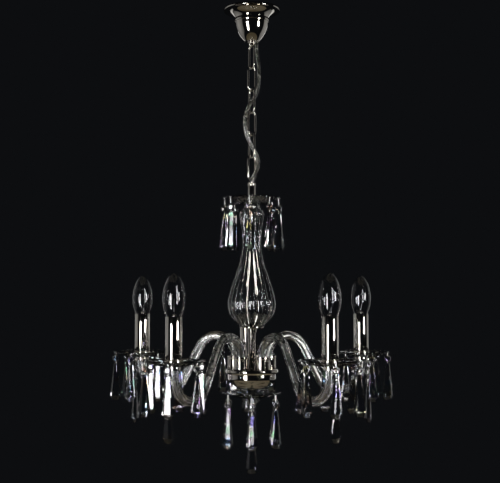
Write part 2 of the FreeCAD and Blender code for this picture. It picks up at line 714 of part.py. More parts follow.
VASE_STATIONS = [
    ("0", "mouth_radius"),
    ("shoulder_level", "shoulder_radius"),
    ("upper_neck_level", "neck_radius"),
    ("lower_neck_level", "neck_radius"),
    ("vase_height - flare_rise", "flare_radius"),
    ("vase_height - swell_rise", "swell_radius"),
    ("vase_height - belly_rise", "belly_radius"),
    ("vase_height - under_rise", "under_radius"),
    ("vase_height - taper_rise", "taper_radius"),
    ("vase_height", "foot_radius"),
]


def panelled_loft(name, less):
    """The vase's panelled form through its stations, with each radius less by a wall."""
    rings = []
    for number, (level, radius) in enumerate(VASE_STATIONS):
        ring = doc.addObject("Part::RegularPolygon", f"{name}_ring_{number}")
        ring.Polygon = VASE_PANELS
        bind(ring, "Circumradius", f"{radius} - {less}")
        bind(ring, "Placement.Base.z", f"-({level})")
        rings.append(ring)
    loft = doc.addObject("Part::Loft", name)
    loft.Sections = rings
    loft.Solid = True
    loft.Ruled = True
    return loft


def make_column():
    """What the tie rod clamps between the chain and the finial."""
    dish("top_dish", "stem_hole", "top_dish_deep", "top_rim_depth", foot="top_dish_foot")
    prism_button("top_collar", ARM_RIBS, "button_radius", "button_height", "stem_hole",
                 "top_rim_depth + top_dish_deep - dish_floor - button_height")
    vase = doc.addObject("Part::Cut", "vase")
    vase.Base = panelled_loft("vase_outside", "0")
    vase.Tool = panelled_loft("vase_inside", "vase_wall")
    hang(vase, "vase_depth")
    keep(vase, "vase")

    keep(turned("vase_seat", [
        ("stem_hole", "0"),
        ("seat_radius", "0"),
        ("seat_radius", "-seat_edge"),
        ("seat_collar_radius", "-(seat_edge + seat_slope)"),
        ("seat_collar_radius", "-seat_height"),
        ("stem_hole", "-seat_height"),
    ], "foot_depth"), "vase_seat")

    keep(turned("hub_plate", [
        ("rod_hole", "0"),
        ("hub_radius - hub_chamfer", "0"),
        ("hub_radius", "-hub_chamfer"),
        ("hub_radius", "-hub_thick"),
        ("rod_hole", "-hub_thick"),
    ], "hub_depth"), "hub_plate")

    keep(turned("hub_bowl", [
        ("bowl_radius", "0"),
        ("bowl_radius", "-bowl_side"),
        ("bowl_waist_radius", "-bowl_waist_level"),
        ("bowl_end_radius", "-bowl_end_level"),
        ("neck_tube_radius", "-(bowl_end_level + bowl_wall)"),
        ("neck_tube_radius", "-neck_tube_level"),
        ("rod_hole", "-neck_tube_level"),
        ("rod_hole", "-bowl_end_level"),
        ("bowl_end_radius - bowl_wall", "-(bowl_end_level - bowl_wall)"),
        ("bowl_waist_radius - bowl_wall", "-(bowl_waist_level - bowl_wall / 2)"),
        ("bowl_radius - bowl_wall", "-(bowl_side - bowl_wall / 2)"),
        ("bowl_radius - bowl_wall", "0"),
    ], "bowl_depth"), "hub_bowl")

    dish("bottom_dish", "rod_hole", "bottom_dish_deep", "bottom_rim_depth")
    prism_button("bottom_collar", ARM_RIBS, "under_button_radius", "under_button_height",
                 "rod_hole", "bottom_floor_depth")
    keep(turned("finial", [
        ("rod_hole", "0"),
        ("finial_radius", "0"),
        ("finial_radius", "-finial_collar"),
        ("finial_waist", "-finial_waist_level"),
        ("finial_waist", "-finial_stem_level"),
        ("finial_tip", "-finial_height"),
        ("0", "-finial_height"),
        ("0", "-(rod_end + fit_gap)"),
        ("rod_hole", "-(rod_end + fit_gap)"),
    ], "finial_depth"), "finial")


# ---- arms --------------------------------------------------------------------------------

def arm_line(body, name):
    """The arm's middle line in its own upright plane, from the hub plate to the candle cup:
    up, over, down a straight slope that touches both bends, under, and up again."""
    path = new_sketch(body, name, "XZ_Plane")
    root, rise = value("socket_circle"), value("socket_height")
    over, under, last = value("arm_top_bend"), value("arm_low_bend"), value("arm_end_bend")
    reach, sag, end = value("arm_reach"), value("arm_sag"), value("arm_rise")
    crest = Vector(root + over, rise, 0)
    valley = Vector(reach - last, under - sag, 0)
    exit_middle = Vector(reach - last, last - sag, 0)
    span = valley - crest
    slope = math.atan2(span.y, span.x) - math.asin((over + under) / span.Length)
    side = Vector(-math.sin(slope), math.cos(slope), 0)
    up = Vector(0, 0, 1)
    leave, enter = crest + side * over, valley - side * under
    quarter = math.pi / 2
    path.addGeometry(Part.LineSegment(Vector(root, 0, 0), Vector(root, rise, 0)))
    path.addGeometry(Part.ArcOfCircle(Part.Circle(crest, up, over), slope + quarter, math.pi))
    path.addGeometry(Part.LineSegment(leave, enter))
    path.addGeometry(Part.ArcOfCircle(Part.Circle(valley, up, under), slope - quarter, -quarter))
    path.addGeometry(Part.ArcOfCircle(Part.Circle(exit_middle, up, last), -quarter, 0))
    path.addGeometry(Part.LineSegment(Vector(reach, last - sag, 0), Vector(reach, end, 0)))
    for first, place, second, other in (
        (0, 2, 1, 2), (1, 1, 2, 1), (2, 2, 3, 1), (3, 2, 4, 1), (4, 2, 5, 1),
    ):
        path.addConstraint(Sketcher.Constraint("Tangent", first, place, second, other))
    for index, text in ((1, "arm_top_bend"), (3, "arm_low_bend"), (4, "arm_end_bend")):
        set_radius(path, index, text)
    pin_point(path, 0, 1, "socket_circle", "0")
    pin_point(path, 0, 2, "socket_circle", "socket_height")
    pin_point(path, 4, 1, "arm_reach - arm_end_bend", "-arm_sag")
    pin_point(path, 5, 2, "arm_reach", "arm_rise")
    return path


def make_arm(number, angle):
    name = f"arm_{number}"
    body = new_body(name)
    path = arm_line(body, f"{name}_line")
    outside = new_sketch(body, f"{name}_ribs", "XY_Plane")
    many_sided(outside, ARM_RIBS, "arm_radius", "socket_circle")
    glass = body.newObject("PartDesign::AdditivePipe", f"{name}_glass")
    glass.Profile = outside
    glass.Spine = path
    body.Tip = glass
    doc.recompute()
    inside = new_sketch(body, f"{name}_bore_outline", "XY_Plane")
    many_sided(inside, BORE_SIDES, "arm_bore", "socket_circle")
    whole = body.Shape.Volume
    bore = body.newObject("PartDesign::SubtractivePipe", f"{name}_bore")
    bore.Profile = inside
    bore.Spine = path
    body.Tip = bore
    doc.recompute()
    if not body.Shape.Volume < whole:
        raise ValueError(f"the bore cuts nothing out of {name}")
    hang(body, "hub_depth", angle=angle)
    keep(body, name)


def make_arm_wire():
    """One arm's wires, as the core of its bore, from the hub plate to the candle cup."""
    body = new_body("arm_wire")
    path = arm_line(body, "arm_wire_line")
    section = new_sketch(body, "arm_wire_section", "XY_Plane")
    many_sided(section, 4, "wire_radius", "socket_circle", PIN_TURN)
    pipe = body.newObject("PartDesign::AdditivePipe", "arm_wire_pipe")
    pipe.Profile = section
    pipe.Spine = path
    body.Tip = pipe
    return body


def candle_cup():
    """Ferrule round the arm's end, neck through the dish and pan round the sleeve, with the
    lug that its pendant hangs from."""
    cup = turned("candle_cup_turned", [
        ("0", "0"),
        ("arm_radius + fit_gap", "0"),
        ("arm_radius + fit_gap", "-ferrule_height"),
        ("ferrule_radius", "-ferrule_height"),
        ("ferrule_radius", "ferrule_floor"),
        ("cup_neck_radius", "ferrule_floor"),
        ("cup_neck_radius", "pan_level"),
        ("pan_radius", "pan_level"),
        ("pan_radius", "pan_level + pan_height"),
        ("pan_bore", "pan_level + pan_height"),
        ("pan_bore", "pan_level + pan_floor"),
        ("0", "pan_level + pan_floor"),
    ])
    lug = doc.addObject("Part::Box", "pendant_lug")
    bind(lug, "Length", "lug_reach - (ferrule_radius - 1)")
    bind(lug, "Width", "lug_width")
    bind(lug, "Height", "lug_height")
    bind(lug, "Placement.Base.x", "ferrule_radius - 1")
    bind(lug, "Placement.Base.y", "-lug_width / 2")
    bind(lug, "Placement.Base.z", "-ferrule_height")
    whole = doc.addObject("Part::Fuse", "candle_cup")
    whole.Base = cup
    whole.Tool = lug
    return whole


def make_lamp(number, angle):
    name = f"bulb_{number}"
    keep(turned(name, [
        ("0", "0"),
        ("cap_contact", "0"),
        ("screw_radius", "screw_taper"),
        ("screw_radius", "screw_length"),
        ("lamp_mouth_radius", "lamp_sink", "lamp_neck_curve", "left"),
        ("lamp_belly_radius", "lamp_belly_level", "lamp_flame_curve", "left"),
        ("lamp_tip_radius", "lamp_length"),
        ("0", "lamp_length"),
    ], "lamp_depth", "arm_reach", angle), name)


def make_candles():
    socket = turned("arm_socket", [
        ("arm_radius + fit_gap", "0"),
        ("socket_radius", "0"),
        ("socket_radius", "socket_bead"),
        ("socket_waist", "socket_bead + socket_cove"),
        ("socket_waist", "socket_height - socket_bead - socket_cove"),
        ("socket_radius", "socket_height - socket_bead"),
        ("socket_radius", "socket_height"),
        ("arm_radius + fit_gap", "socket_height"),
    ])
    cup = candle_cup()
    sleeve = turned("candle_tube", [
        ("sleeve_radius - sleeve_wall", "0"),
        ("sleeve_radius", "0"),
        ("sleeve_radius", "sleeve_height"),
        ("sleeve_radius - sleeve_wall", "sleeve_height"),
    ])
    holder = turned("lampholder", [
        ("0", "0"),
        ("holder_stem_radius", "0"),
        ("holder_stem_radius", "holder_stem_height"),
        ("holder_radius", "holder_stem_height"),
        ("holder_radius", "holder_height"),
        ("screw_radius + fit_gap", "holder_height"),
        ("screw_radius + fit_gap", "holder_height - holder_well"),
        ("0", "holder_height - holder_well"),
    ])
    wire = make_arm_wire()
    doc.recompute()
    still = Placement()
    copies("arm_sockets", [(socket, still)], [spin(a, "socket_circle", "hub_depth") for a in ARM_TURNS])
    copies("arm_wires", [(wire, still)], [spin(a, "0", "hub_depth") for a in ARM_TURNS])
    copies("candle_cups", [(cup, still)], [spin(a, "arm_reach", "arm_end_depth") for a in ARM_TURNS])
    copies("candle_tubes", [(sleeve, still)], [spin(a, "arm_reach", "sleeve_depth") for a in ARM_TURNS])
    copies("lampholders", [(holder, still)], [spin(a, "arm_reach", "sleeve_depth") for a in ARM_TURNS])
    for number, angle in enumerate(ARM_TURNS, start=1):
        make_arm(number, angle)
        dish(f"arm_dish_{number}", "cup_neck_radius + fit_gap", "arm_dish_deep",
             "arm_rim_depth", None, "arm_reach", angle)
        make_lamp(number, angle)


# ---- cut-glass drops ---------------------------------------------------------------------

def octagon_bead(name, radius, face, half):
    """A flat octagon bead that faces along X, bevelled towards both faces."""
    rings = []
    for number, (size, place) in enumerate(((face, f"-{half}"), (radius, "0"), (face, half))):
        ring = doc.addObject("Part::RegularPolygon", f"{name}_ring_{number}")
        ring.Polygon = 8
        bind(ring, "Circumradius", size)
        ring.Placement = Placement(Vector(), Rotation(Vector(0, 1, 0), 90))
        bind(ring, "Placement.Base.x", place)
        rings.append(ring)
    bead = doc.addObject("Part::Loft", name)
    bead.Sections = rings
    bead.Solid = True
    bead.Ruled = True
    return bead


def cut_prism():
    """A long prism that hangs from its top: flat across Y and thin along X, widest low down,
    with a blunt end."""
    body = new_body("prism")
    stations = (
        ("0", "prism_head_width", "prism_head_thick"),
        ("prism_wide_level", "prism_width", "prism_thick"),
        ("prism_length", "prism_end_width", "prism_end_thick"),
    )
    sections = []
    for number, (level, wide, thick) in enumerate(stations):
        sketch = new_sketch(body, f"prism_section_{number}", "XY_Plane", f"-({level})")
        draw(sketch, [
            (f"{thick} / 2", f"-{wide} / 4"),
            (f"{thick} / 2", f"{wide} / 4"),
            ("0", f"{wide} / 2"),
            (f"-{thick} / 2", f"{wide} / 4"),
            (f"-{thick} / 2", f"-{wide} / 4"),
            ("0", f"-{wide} / 2"),
        ])
        sections.append(sketch)
    loft = body.newObject("PartDesign::AdditiveLoft", "prism_loft")
    loft.Profile = sections[0]
    loft.Sections = sections[1:]
    loft.Ruled = True
    body.Tip = loft
    return body


def pin(name, length):
    """A short wire pin, its top at its own level."""
    box = doc.addObject("Part::Box", name)
    bind(box, "Length", "pin_size")
    bind(box, "Width", "pin_size")
    bind(box, "Height", length)
    bind(box, "Placement.Base.x", "-pin_size / 2")
    bind(box, "Placement.Base.y", "-pin_size / 2")
    bind(box, "Placement.Base.z", f"-({length})")
    return box


def down(text):
    return Placement(Vector(0, 0, -value(text)), Rotation())


def circle_of(count, first):
    return [first + 360.0 * k / count for k in range(count)]


def make_drops():
    bead = octagon_bead("rim_bead", "bead_radius", "bead_face", "bead_half")
    large = octagon_bead("pendant_bead", "pendant_radius", "pendant_face", "pendant_half")
    prism = cut_prism()
    flat = f"cos({BEAD_TURN})"  # from a bead's radius to the middle of its flat side
    short = pin("short_pin", "prism_space + bead_radius - bead_radius * " + flat + " - 2 * pin_gap")
    hooks = {}
    for group in ("arm", "top", "bottom"):
        length = f"{group}_bead_drop - bead_radius * {flat} - dish_edge - 2 * pin_gap"
        hooks[group] = pin(f"{group}_hook", length)
    doc.recompute()

    upright = Placement(Vector(), Rotation(Vector(1, 0, 0), BEAD_TURN))
    pins = []

    def rim(label, group, centre, rim_depth, angles):
        """The beads and prisms under one rim; their pins are gathered for one node."""
        bead_level = f"{group}_bead_drop"
        prism_level = f"{bead_level} + bead_radius + prism_space"
        pieces = [(bead, down(bead_level).multiply(upright)), (prism, down(prism_level))]
        places = []
        for number, angle in enumerate(angles):
            spot = centre.multiply(spin(angle, "drop_circle", rim_depth)).Base
            sway = SWAY_TURN if number % 2 else -SWAY_TURN
            places.append(Placement(spot, Rotation(Vector(0, 0, 1), DROPS_TURN + sway)))
        copies(label, pieces, places)
        low = f"{bead_level} + bead_radius * {flat} + pin_gap"
        for place in places:
            pins.append((hooks[group], place.multiply(down("dish_edge + pin_gap"))))
            pins.append((short, place.multiply(down(low))))

    still = Placement()
    rim("top_crystals", "top", still, "top_rim_depth", circle_of(TOP_DROP_COUNT, TOP_DROPS_START))
    six = circle_of(RIM_DROP_COUNT, RIM_DROPS_START)
    rim("bottom_crystals", "bottom", still, "bottom_rim_depth", six)
    for number, angle in enumerate(ARM_TURNS, start=1):
        centre = spin(angle, "arm_reach")
        rim(f"arm_crystals_{number}", "arm", centre, "arm_rim_depth", six)
    copies("rim_pins", pins, [still])

    step = f"2 * pendant_radius * {flat} + pendant_space"
    link = pin("pendant_pin", "pendant_space - 2 * pin_gap")
    doc.recompute()
    pieces = []
    for number in range(3):
        level = f"{number} * ({step}) + pendant_space"
        pieces.append((link, down(f"{level} - pendant_space + pin_gap")))
        pieces.append((large, down(f"{level} + pendant_radius * {flat}").multiply(upright)))
    last = f"3 * ({step}) + pendant_space"
    pieces.append((link, down(f"{last} - pendant_space + pin_gap")))
    pieces.append((prism, down(last)))
    for number, angle in enumerate(ARM_TURNS, start=1):
        copies(f"pendant_{number}", pieces, [spin(angle, "pendant_arm", "pendant_pivot_depth")])
    copies("bottom_pendant", pieces, [spin(DROPS_TURN, "0", "bottom_pivot_depth")])


# ---- the whole ---------------------------------------------------------------------------

make_canopy()
make_canopy_loop()
for link_number in range(1, LINKS + 1):
    make_link(link_number)
make_cable()
make_stem()
make_column()
make_candles()
make_drops()
doc.recompute()

for thing in doc.Objects:
    if "Invalid" in thing.State or "Error" in thing.State:
        raise ValueError(f"{thing.Name} did not build: {thing.State}")
for label, thing in kept.items():
    if thing.Shape.isNull() or not thing.Shape.isValid() or not thing.Shape.Solids:
        raise ValueError(f"{label} has no valid solid")

os.makedirs("parts", exist_ok=True)
for label, thing in kept.items():
    thing.Shape.exportStep(os.path.join("parts", f"{label}.step"))
box = Part.makeCompound([thing.Shape for thing in kept.values()]).BoundBox
print(f"{len(kept)} pieces, {box.XLength:.1f} x {box.YLength:.1f} x {box.ZLength:.1f} mm")
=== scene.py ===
"""Dresses a five-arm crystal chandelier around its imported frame.

Everything hangs below z = 0, the ceiling. Fields and profiles are in millimetres and are turned
into metres as each mesh is made; levels and places come from the frame's own boxes and joints.
"""

import json
import logging
from dataclasses import dataclass
from enum import Enum
from math import asin, atan2, cos, hypot, pi, radians, sin, sqrt

import bmesh
import bpy
from mathutils import Matrix, Vector


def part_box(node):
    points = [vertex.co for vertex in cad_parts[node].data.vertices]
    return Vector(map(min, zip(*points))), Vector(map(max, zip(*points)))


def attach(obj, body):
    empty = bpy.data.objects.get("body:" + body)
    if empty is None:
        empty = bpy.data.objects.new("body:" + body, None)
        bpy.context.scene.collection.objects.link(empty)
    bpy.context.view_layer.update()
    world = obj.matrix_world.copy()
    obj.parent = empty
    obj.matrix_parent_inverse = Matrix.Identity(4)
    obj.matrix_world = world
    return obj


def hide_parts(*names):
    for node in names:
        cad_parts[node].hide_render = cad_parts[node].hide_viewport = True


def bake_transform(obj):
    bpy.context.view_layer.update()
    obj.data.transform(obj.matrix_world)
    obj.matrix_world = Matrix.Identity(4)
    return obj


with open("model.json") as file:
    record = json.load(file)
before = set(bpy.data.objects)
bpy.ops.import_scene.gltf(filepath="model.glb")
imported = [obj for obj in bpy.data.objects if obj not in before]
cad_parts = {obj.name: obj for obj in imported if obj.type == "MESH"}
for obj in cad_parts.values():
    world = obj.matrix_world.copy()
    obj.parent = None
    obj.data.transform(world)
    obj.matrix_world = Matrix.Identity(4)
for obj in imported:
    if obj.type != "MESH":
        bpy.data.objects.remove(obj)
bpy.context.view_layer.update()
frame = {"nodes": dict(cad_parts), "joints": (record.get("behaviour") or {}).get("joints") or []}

MM = 0.001
WHOLE_TURN = 2 * pi
QUARTER_TURN = pi / 2
MERGE_DISTANCE = 1e-6
log = logging.getLogger("chandelier")

Form = bmesh.types.BMesh
Corner = bmesh.types.BMVert
Edge = bmesh.types.BMEdge
Socket = bpy.types.NodeSocket
Triple = tuple[float, float, float]
Profile = list[tuple[float, float]]


class Body(Enum):
    """The bodies that more than one piece rides on."""

    CANOPY = "root"
    FIXTURE = "fixture"


class Side(Enum):
    """Where a round edge's middle lies, seen along the way from its start to its end."""

    LEFT = 1
    RIGHT = -1


# ---- finishes ----

class Nodes:
    """The nodes of a material or of the world, and the few ways in which they are made."""

    def __init__(self, tree: bpy.types.NodeTree) -> None:
        self.tree = tree

    def feed(self, node: bpy.types.Node, **inputs: float | Triple | Socket) -> None:
        """Gives a node's inputs their values, or links them where another node's output is given.

        An underscore stands for a space in an input's name.
        """
        for name, value in inputs.items():
            socket = node.inputs[name.replace("_", " ")]
            if isinstance(value, Socket):
                self.tree.links.new(value, socket)
            else:
                socket.default_value = (*value, 1.0) if socket.type == "RGBA" else value

    def add(self, kind: str, settings: dict[str, str] | None = None,
            **inputs: float | Triple | Socket) -> bpy.types.Node:
        """A new node of a kind, with its settings and its inputs."""
        node = self.tree.nodes.new(f"ShaderNode{kind}")
        for name, value in (settings or {}).items():
            setattr(node, name, value)
        self.feed(node, **inputs)
        return node

    def noise(self, scale: float, detail: float = 2.0, stretch: Triple = (1.0, 1.0, 1.0)) -> Socket:
        """A noise pattern's value on the piece's own coordinates.

        Args:
            scale: how many lumps lie in a metre.
            detail: how many finer octaves are added.
            stretch: the share of the scale along each axis.
        """
        place = self.add("TexCoord").outputs["Object"]
        turn = self.add("Mapping", Vector=place, Scale=stretch).outputs["Vector"]
        return self.add("TexNoise", Vector=turn, Scale=scale, Detail=detail).outputs["Fac"]

    def ranged(self, source: Socket, low: float, high: float, start: float = 0.3,
               stop: float = 0.7) -> Socket:
        """A pattern's value, spread between two limits."""
        return self.add("MapRange", Value=source, From_Min=start, From_Max=stop, To_Min=low,
                        To_Max=high).outputs["Result"]

    def between(self, factor: Socket, first: Triple, second: Triple | Socket) -> Socket:
        """A colour between two, by a pattern."""
        return self.add("Mix", {"data_type": "RGBA"}, Factor=factor, A=first,
                        B=second).outputs["Result"]

    def bump(self, height: Socket, strength: float, distance: float) -> Socket:
        """A surface lifted a little by a pattern; distance is in metres."""
        return self.add("Bump", Height=height, Strength=strength,
                        Distance=distance).outputs["Normal"]

    def most(self, first: Socket, second: Socket) -> Socket:
        """The larger of two values."""
        node = self.add("Math", {"operation": "MAXIMUM"})
        self.tree.links.new(first, node.inputs[0])
        self.tree.links.new(second, node.inputs[1])
        return node.outputs["Value"]


@dataclass(frozen=True)
class Finish:
    """A finish of the real object, made once as a material."""

    name: str
    slot: str

    def material(self) -> bpy.types.Material:
        """The finish's material, made on its first use."""
        known = bpy.data.materials.get(self.name)
        if known:
            return known
        material = bpy.data.materials.new(self.name)
        material.use_nodes = True
        self.dress(Nodes(material.node_tree), material.node_tree.nodes["Principled BSDF"])
        return material

    def dress(self, nodes: Nodes, shader: bpy.types.Node) -> None:
        """Sets the shader up; each finish has its own way."""
        raise NotImplementedError


@dataclass(frozen=True)
class Metal(Finish):
    """Plated or bare metal, with faint polishing marks and a slightly uneven tone."""

    colour: Triple
    shade: Triple
    smooth: float = 0.03
    rough: float = 0.08
    marks: float = 0.004
    tone_scale: float = 45.0
    mark_scale: float = 260.0

    def dress(self, nodes: Nodes, shader: bpy.types.Node) -> None:
        """Metal with its tone and roughness from two patterns."""
        tone = nodes.noise(self.tone_scale, 3.0)
        wear = nodes.noise(self.mark_scale, 4.0, (1.0, 1.0, 0.25))
        nodes.feed(shader, Metallic=1.0,
                   Base_Color=nodes.between(nodes.ranged(tone, 0.0, 1.0), self.colour, self.shade),
                   Roughness=nodes.ranged(wear, self.smooth, self.rough),
                   Normal=nodes.bump(wear, self.marks, 0.0002))


@dataclass(frozen=True)
class Glass(Finish):
    """Clear glass, with the faint waves of pressed or drawn glass."""

    colour: Triple
    ior: float = 1.5
    waves: float = 0.05
    wave_scale: float = 90.0
    stretch: Triple = (1.0, 1.0, 0.3)
    haze: float = 0.004

    def dress(self, nodes: Nodes, shader: bpy.types.Node) -> None:
        """Clear glass with waves in its surface and a trace of haze."""
        wave = nodes.noise(self.wave_scale, 2.0, self.stretch)
        deeper = tuple(part * 0.94 for part in self.colour)
        nodes.feed(shader, Transmission_Weight=1.0, IOR=self.ior,
                   Base_Color=nodes.between(wave, self.colour, deeper),
                   Roughness=nodes.ranged(wave, 0.0, self.haze),
                   Normal=nodes.bump(wave, self.waves, 0.001))


@dataclass(frozen=True)
class Crystal(Finish):
    """Cut crystal: heavy clear glass. The violet, blue, yellow and green fire of its facets is
    painted into its colour as tinted patches.
    """

    colour: Triple = (0.87, 0.87, 0.89)
    # Painted fire: the tints that some patches take in place of the split light that cut facets
    # throw.
    painted_fire_hues: tuple[tuple[float, Triple], ...] = (
        (0.0, (0.5, 0.45, 1.0)), (0.25, (0.45, 0.68, 1.0)), (0.45, (0.85, 0.62, 1.0)),
        (0.6, (1.0, 0.92, 0.55)), (0.75, (0.6, 1.0, 0.72)), (0.88, (1.0, 0.68, 0.5)))
    # Patches whose pattern value lies above this are tinted with painted fire; the rest stay clear.
    painted_fire_threshold: float = 0.72
    ior: float = 1.6
    facet_scale: float = 85.0

    def dress(self, nodes: Nodes, shader: bpy.types.Node) -> None:
        """Heavy glass with painted fire: its colour changes from patch to patch, as split light
        does.
        """
        place = nodes.add("TexCoord").outputs["Object"]
        patch = nodes.add("TexVoronoi", Vector=place, Scale=self.facet_scale).outputs["Color"]
        split = nodes.add("SeparateColor", Color=patch).outputs
        # Painted fire: Voronoi patches tinted violet, blue, lilac, yellow, green and orange stand
        # in for split light.
        painted_fire_ramp = nodes.add("ValToRGB", Fac=split["Red"])
        painted_fire_ramp.color_ramp.interpolation = "CONSTANT"
        stops = painted_fire_ramp.color_ramp.elements
        for number, (position, colour) in enumerate(self.painted_fire_hues):
            stop = stops[number] if number < 2 else stops.new(1)
            stop.position = position
            stop.color = (*colour, 1.0)
        share = nodes.ranged(split["Green"], 0.0, 1.0, self.painted_fire_threshold, self.painted_fire_threshold + 0.1)
        nodes.feed(shader, Transmission_Weight=1.0, Roughness=0.0, IOR=self.ior,
                   Base_Color=nodes.between(share, self.colour, painted_fire_ramp.outputs["Color"]))


@dataclass(frozen=True)
class Plastic(Finish):
    """A moulded or extruded plastic, evenly coloured but for a faint mottle."""

    colour: Triple
    smooth: float = 0.3
    rough: float = 0.5
    mottle_scale: float = 180.0

    def dress(self, nodes: Nodes, shader: bpy.types.Node) -> None:
        """Plastic with a faint mottle in its colour and its gloss."""
        mottle = nodes.noise(self.mottle_scale, 3.0)
        darker = tuple(part * 0.85 for part in self.colour)
        nodes.feed(shader, Base_Color=nodes.between(mottle, self.colour, darker),
                   Roughness=nodes.ranged(mottle, self.smooth, self.rough),
                   Normal=nodes.bump(mottle, 0.1, 0.0002))


NICKEL = Metal("polished_nickel", "nickel", (0.66, 0.63, 0.58), (0.56, 0.52, 0.46))
ZINC = Metal("zinc_plate", "steel", (0.6, 0.6, 0.6), (0.5, 0.5, 0.52), 0.25, 0.45, 0.1)
WIRE = Metal("pin_wire", "steel", (0.82, 0.8, 0.76), (0.7, 0.68, 0.64), 0.1, 0.2)
CAP_METAL = Metal("lamp_cap_metal", "nickel", (0.75, 0.72, 0.66), (0.62, 0.58, 0.5), 0.15, 0.3)
FILAMENT = Metal("filament_wire", "steel", (0.7, 0.7, 0.7), (0.55, 0.55, 0.55), 0.2, 0.3)
CORES = Metal("tinned_cores", "cable_clear", (0.86, 0.84, 0.8), (0.66, 0.64, 0.6), 0.2, 0.4, 0.2)
RIBBED_GLASS = Glass("ribbed_glass", "clear_glass", (0.98, 0.99, 0.99), 1.5, 0.012, 60.0)
PRESSED_GLASS = Glass("pressed_glass", "clear_glass", (0.97, 0.98, 0.97), 1.52, 0.05, 90.0,
                      (1.0, 1.0, 1.0))
LAMP_GLASS = Glass("blown_glass", "lamp_glass", (0.99, 0.99, 0.99), 1.47, 0.003, 40.0)
SHEATH = Glass("clear_sheath", "cable_clear", (0.96, 0.96, 0.95), 1.45, 0.03, 300.0,
               (1.0, 1.0, 1.0), 0.05)
CRYSTAL = Crystal("cut_crystal", "crystal")
BLOCK_PLASTIC = Plastic("terminal_plastic", "terminal_white", (0.82, 0.82, 0.79))
HOLDER_PLASTIC = Plastic("lampholder_plastic", "holder_black", (0.05, 0.05, 0.05))
FLOOR_PAINT = Plastic("pale_floor", "", (0.66, 0.61, 0.49), 0.7, 0.9)


# ---- mesh helpers ----

def bow(start: tuple[float, float], end: tuple[float, float], radius: float, side: Side,
        steps: int) -> Profile:
    """Points of a round edge between two points of a profile, without its end."""
    a, b = Vector(start), Vector(end)
    way = b - a
    left = Vector((-way.y, way.x)).normalized() * side.value
    middle = (a + b) / 2 + left * sqrt(radius**2 - (way.length / 2) ** 2)
    first, last = a - middle, b - middle
    turn = first.angle_signed(last)
    points = []
    for step in range(steps):
        angle = -turn * step / steps
        spoke = Vector((first.x * cos(angle) - first.y * sin(angle),
                        first.x * sin(angle) + first.y * cos(angle)))
        points.append(tuple(middle + spoke))
    return points


def eased(points: Profile, steps: int) -> Profile:
    """A smooth line through the points, with steps between each two."""
    line = []
    last = len(points) - 1
    for number in range(last):
        p0, p1, p2, p3 = (Vector(points[min(max(number + k, 0), last)]) for k in (-1, 0, 1, 2))
        for step in range(steps):
            t = step / steps
            spot = 0.5 * (2 * p1 + (p2 - p0) * t + (2 * p0 - 5 * p1 + 4 * p2 - p3) * t**2
                          + (3 * p1 - p0 - 3 * p2 + p3) * t**3)
            line.append(tuple(spot))
    line.append(points[last])
    return line


def turned(profile: Profile, steps: int, closed: bool = True) -> Form:
    """A form turned about the upright axis.

    Args:
        profile: points of (radius, height) in millimetres.
        steps: how many faces go round.
        closed: whether the profile's last point joins its first.

    Returns:
        The form as a mesh in metres.
    """
    form = bmesh.new()
    dots = [form.verts.new((radius * MM, 0, height * MM)) for radius, height in profile]
    pairs = list(zip(dots, dots[1:])) + ([(dots[-1], dots[0])] if closed else [])
    edges = [form.edges.new(pair) for pair in pairs]
    bmesh.ops.spin(form, geom=dots + edges, cent=(0, 0, 0), axis=(0, 0, 1), angle=WHOLE_TURN,
                   steps=steps, use_merge=True, use_duplicate=False)
    return cleaned(form)


def cleaned(form: Form, distance: float = MERGE_DISTANCE) -> Form:
    """Joins corners that lie together, and turns all faces outwards."""
    bmesh.ops.remove_doubles(form, verts=form.verts, dist=distance)
    bmesh.ops.recalc_face_normals(form, faces=form.faces)
    return form


def soften(form: Form, width: float, least: float = 40.0) -> Form:
    """Rounds the edges that turn by more than an angle in degrees; width is in millimetres."""
    sharp = [e for e in form.edges if e.is_manifold and e.calc_face_angle() > radians(least)]
    bmesh.ops.bevel(form, geom=sharp, offset=width * MM, offset_type="OFFSET", segments=2,
                    profile=0.5, affect="EDGES", clamp_overlap=True, material=-1)
    return form


def flute(form: Form, count: int, depth) -> Form:
    """Presses grooves into a turned form, so that round ribs stand between them.

    Args:
        form: the turned form, upright at the origin.
        count: how many ribs go round.
        depth: a function of (radius, height) in millimetres that gives the groove's depth.

    Returns:
        The same form.
    """
    for dot in form.verts:
        radius = hypot(dot.co.x, dot.co.y)
        if radius < MERGE_DISTANCE:
            continue
        groove = 1.0 - abs(cos(atan2(dot.co.y, dot.co.x) * count / 2))
        less = depth(radius / MM, dot.co.z / MM) * groove * MM
        dot.co.x *= (radius - less) / radius
        dot.co.y *= (radius - less) / radius
    return form


def moved(form: Form, matrix: Matrix) -> Form:
    """Puts a form in its place."""
    bmesh.ops.transform(form, matrix=matrix, verts=form.verts)
    return form


def dressed(form: Form, number: int) -> Form:
    """Gives all faces of a form one of its piece's finishes."""
    for face in form.faces:
        face.material_index = number
    return form


def gathered(parts: list[tuple[Form, Matrix]]) -> Form:
    """One form of copies of several, each in its place."""
    whole = bmesh.new()
    for part, matrix in parts:
        copy = moved(part.copy(), matrix)
        holder = bpy.data.meshes.new("copy")
        copy.to_mesh(holder)
        copy.free()
        whole.from_mesh(holder)
        bpy.data.meshes.remove(holder)
    return whole


def pulled(form: Form, rims: list[Edge], way: Triple) -> tuple[list[Corner], list[Edge]]:
    """Pulls walls out of open edges, and gives the new corners and the new open edges."""
    made = bmesh.ops.extrude_edge_only(form, edges=rims)["geom"]
    dots = [part for part in made if isinstance(part, Corner)]
    rims = [part for part in made
            if isinstance(part, Edge) and all(dot in dots for dot in part.verts)]
    bmesh.ops.translate(form, verts=dots, vec=way)
    return dots, rims


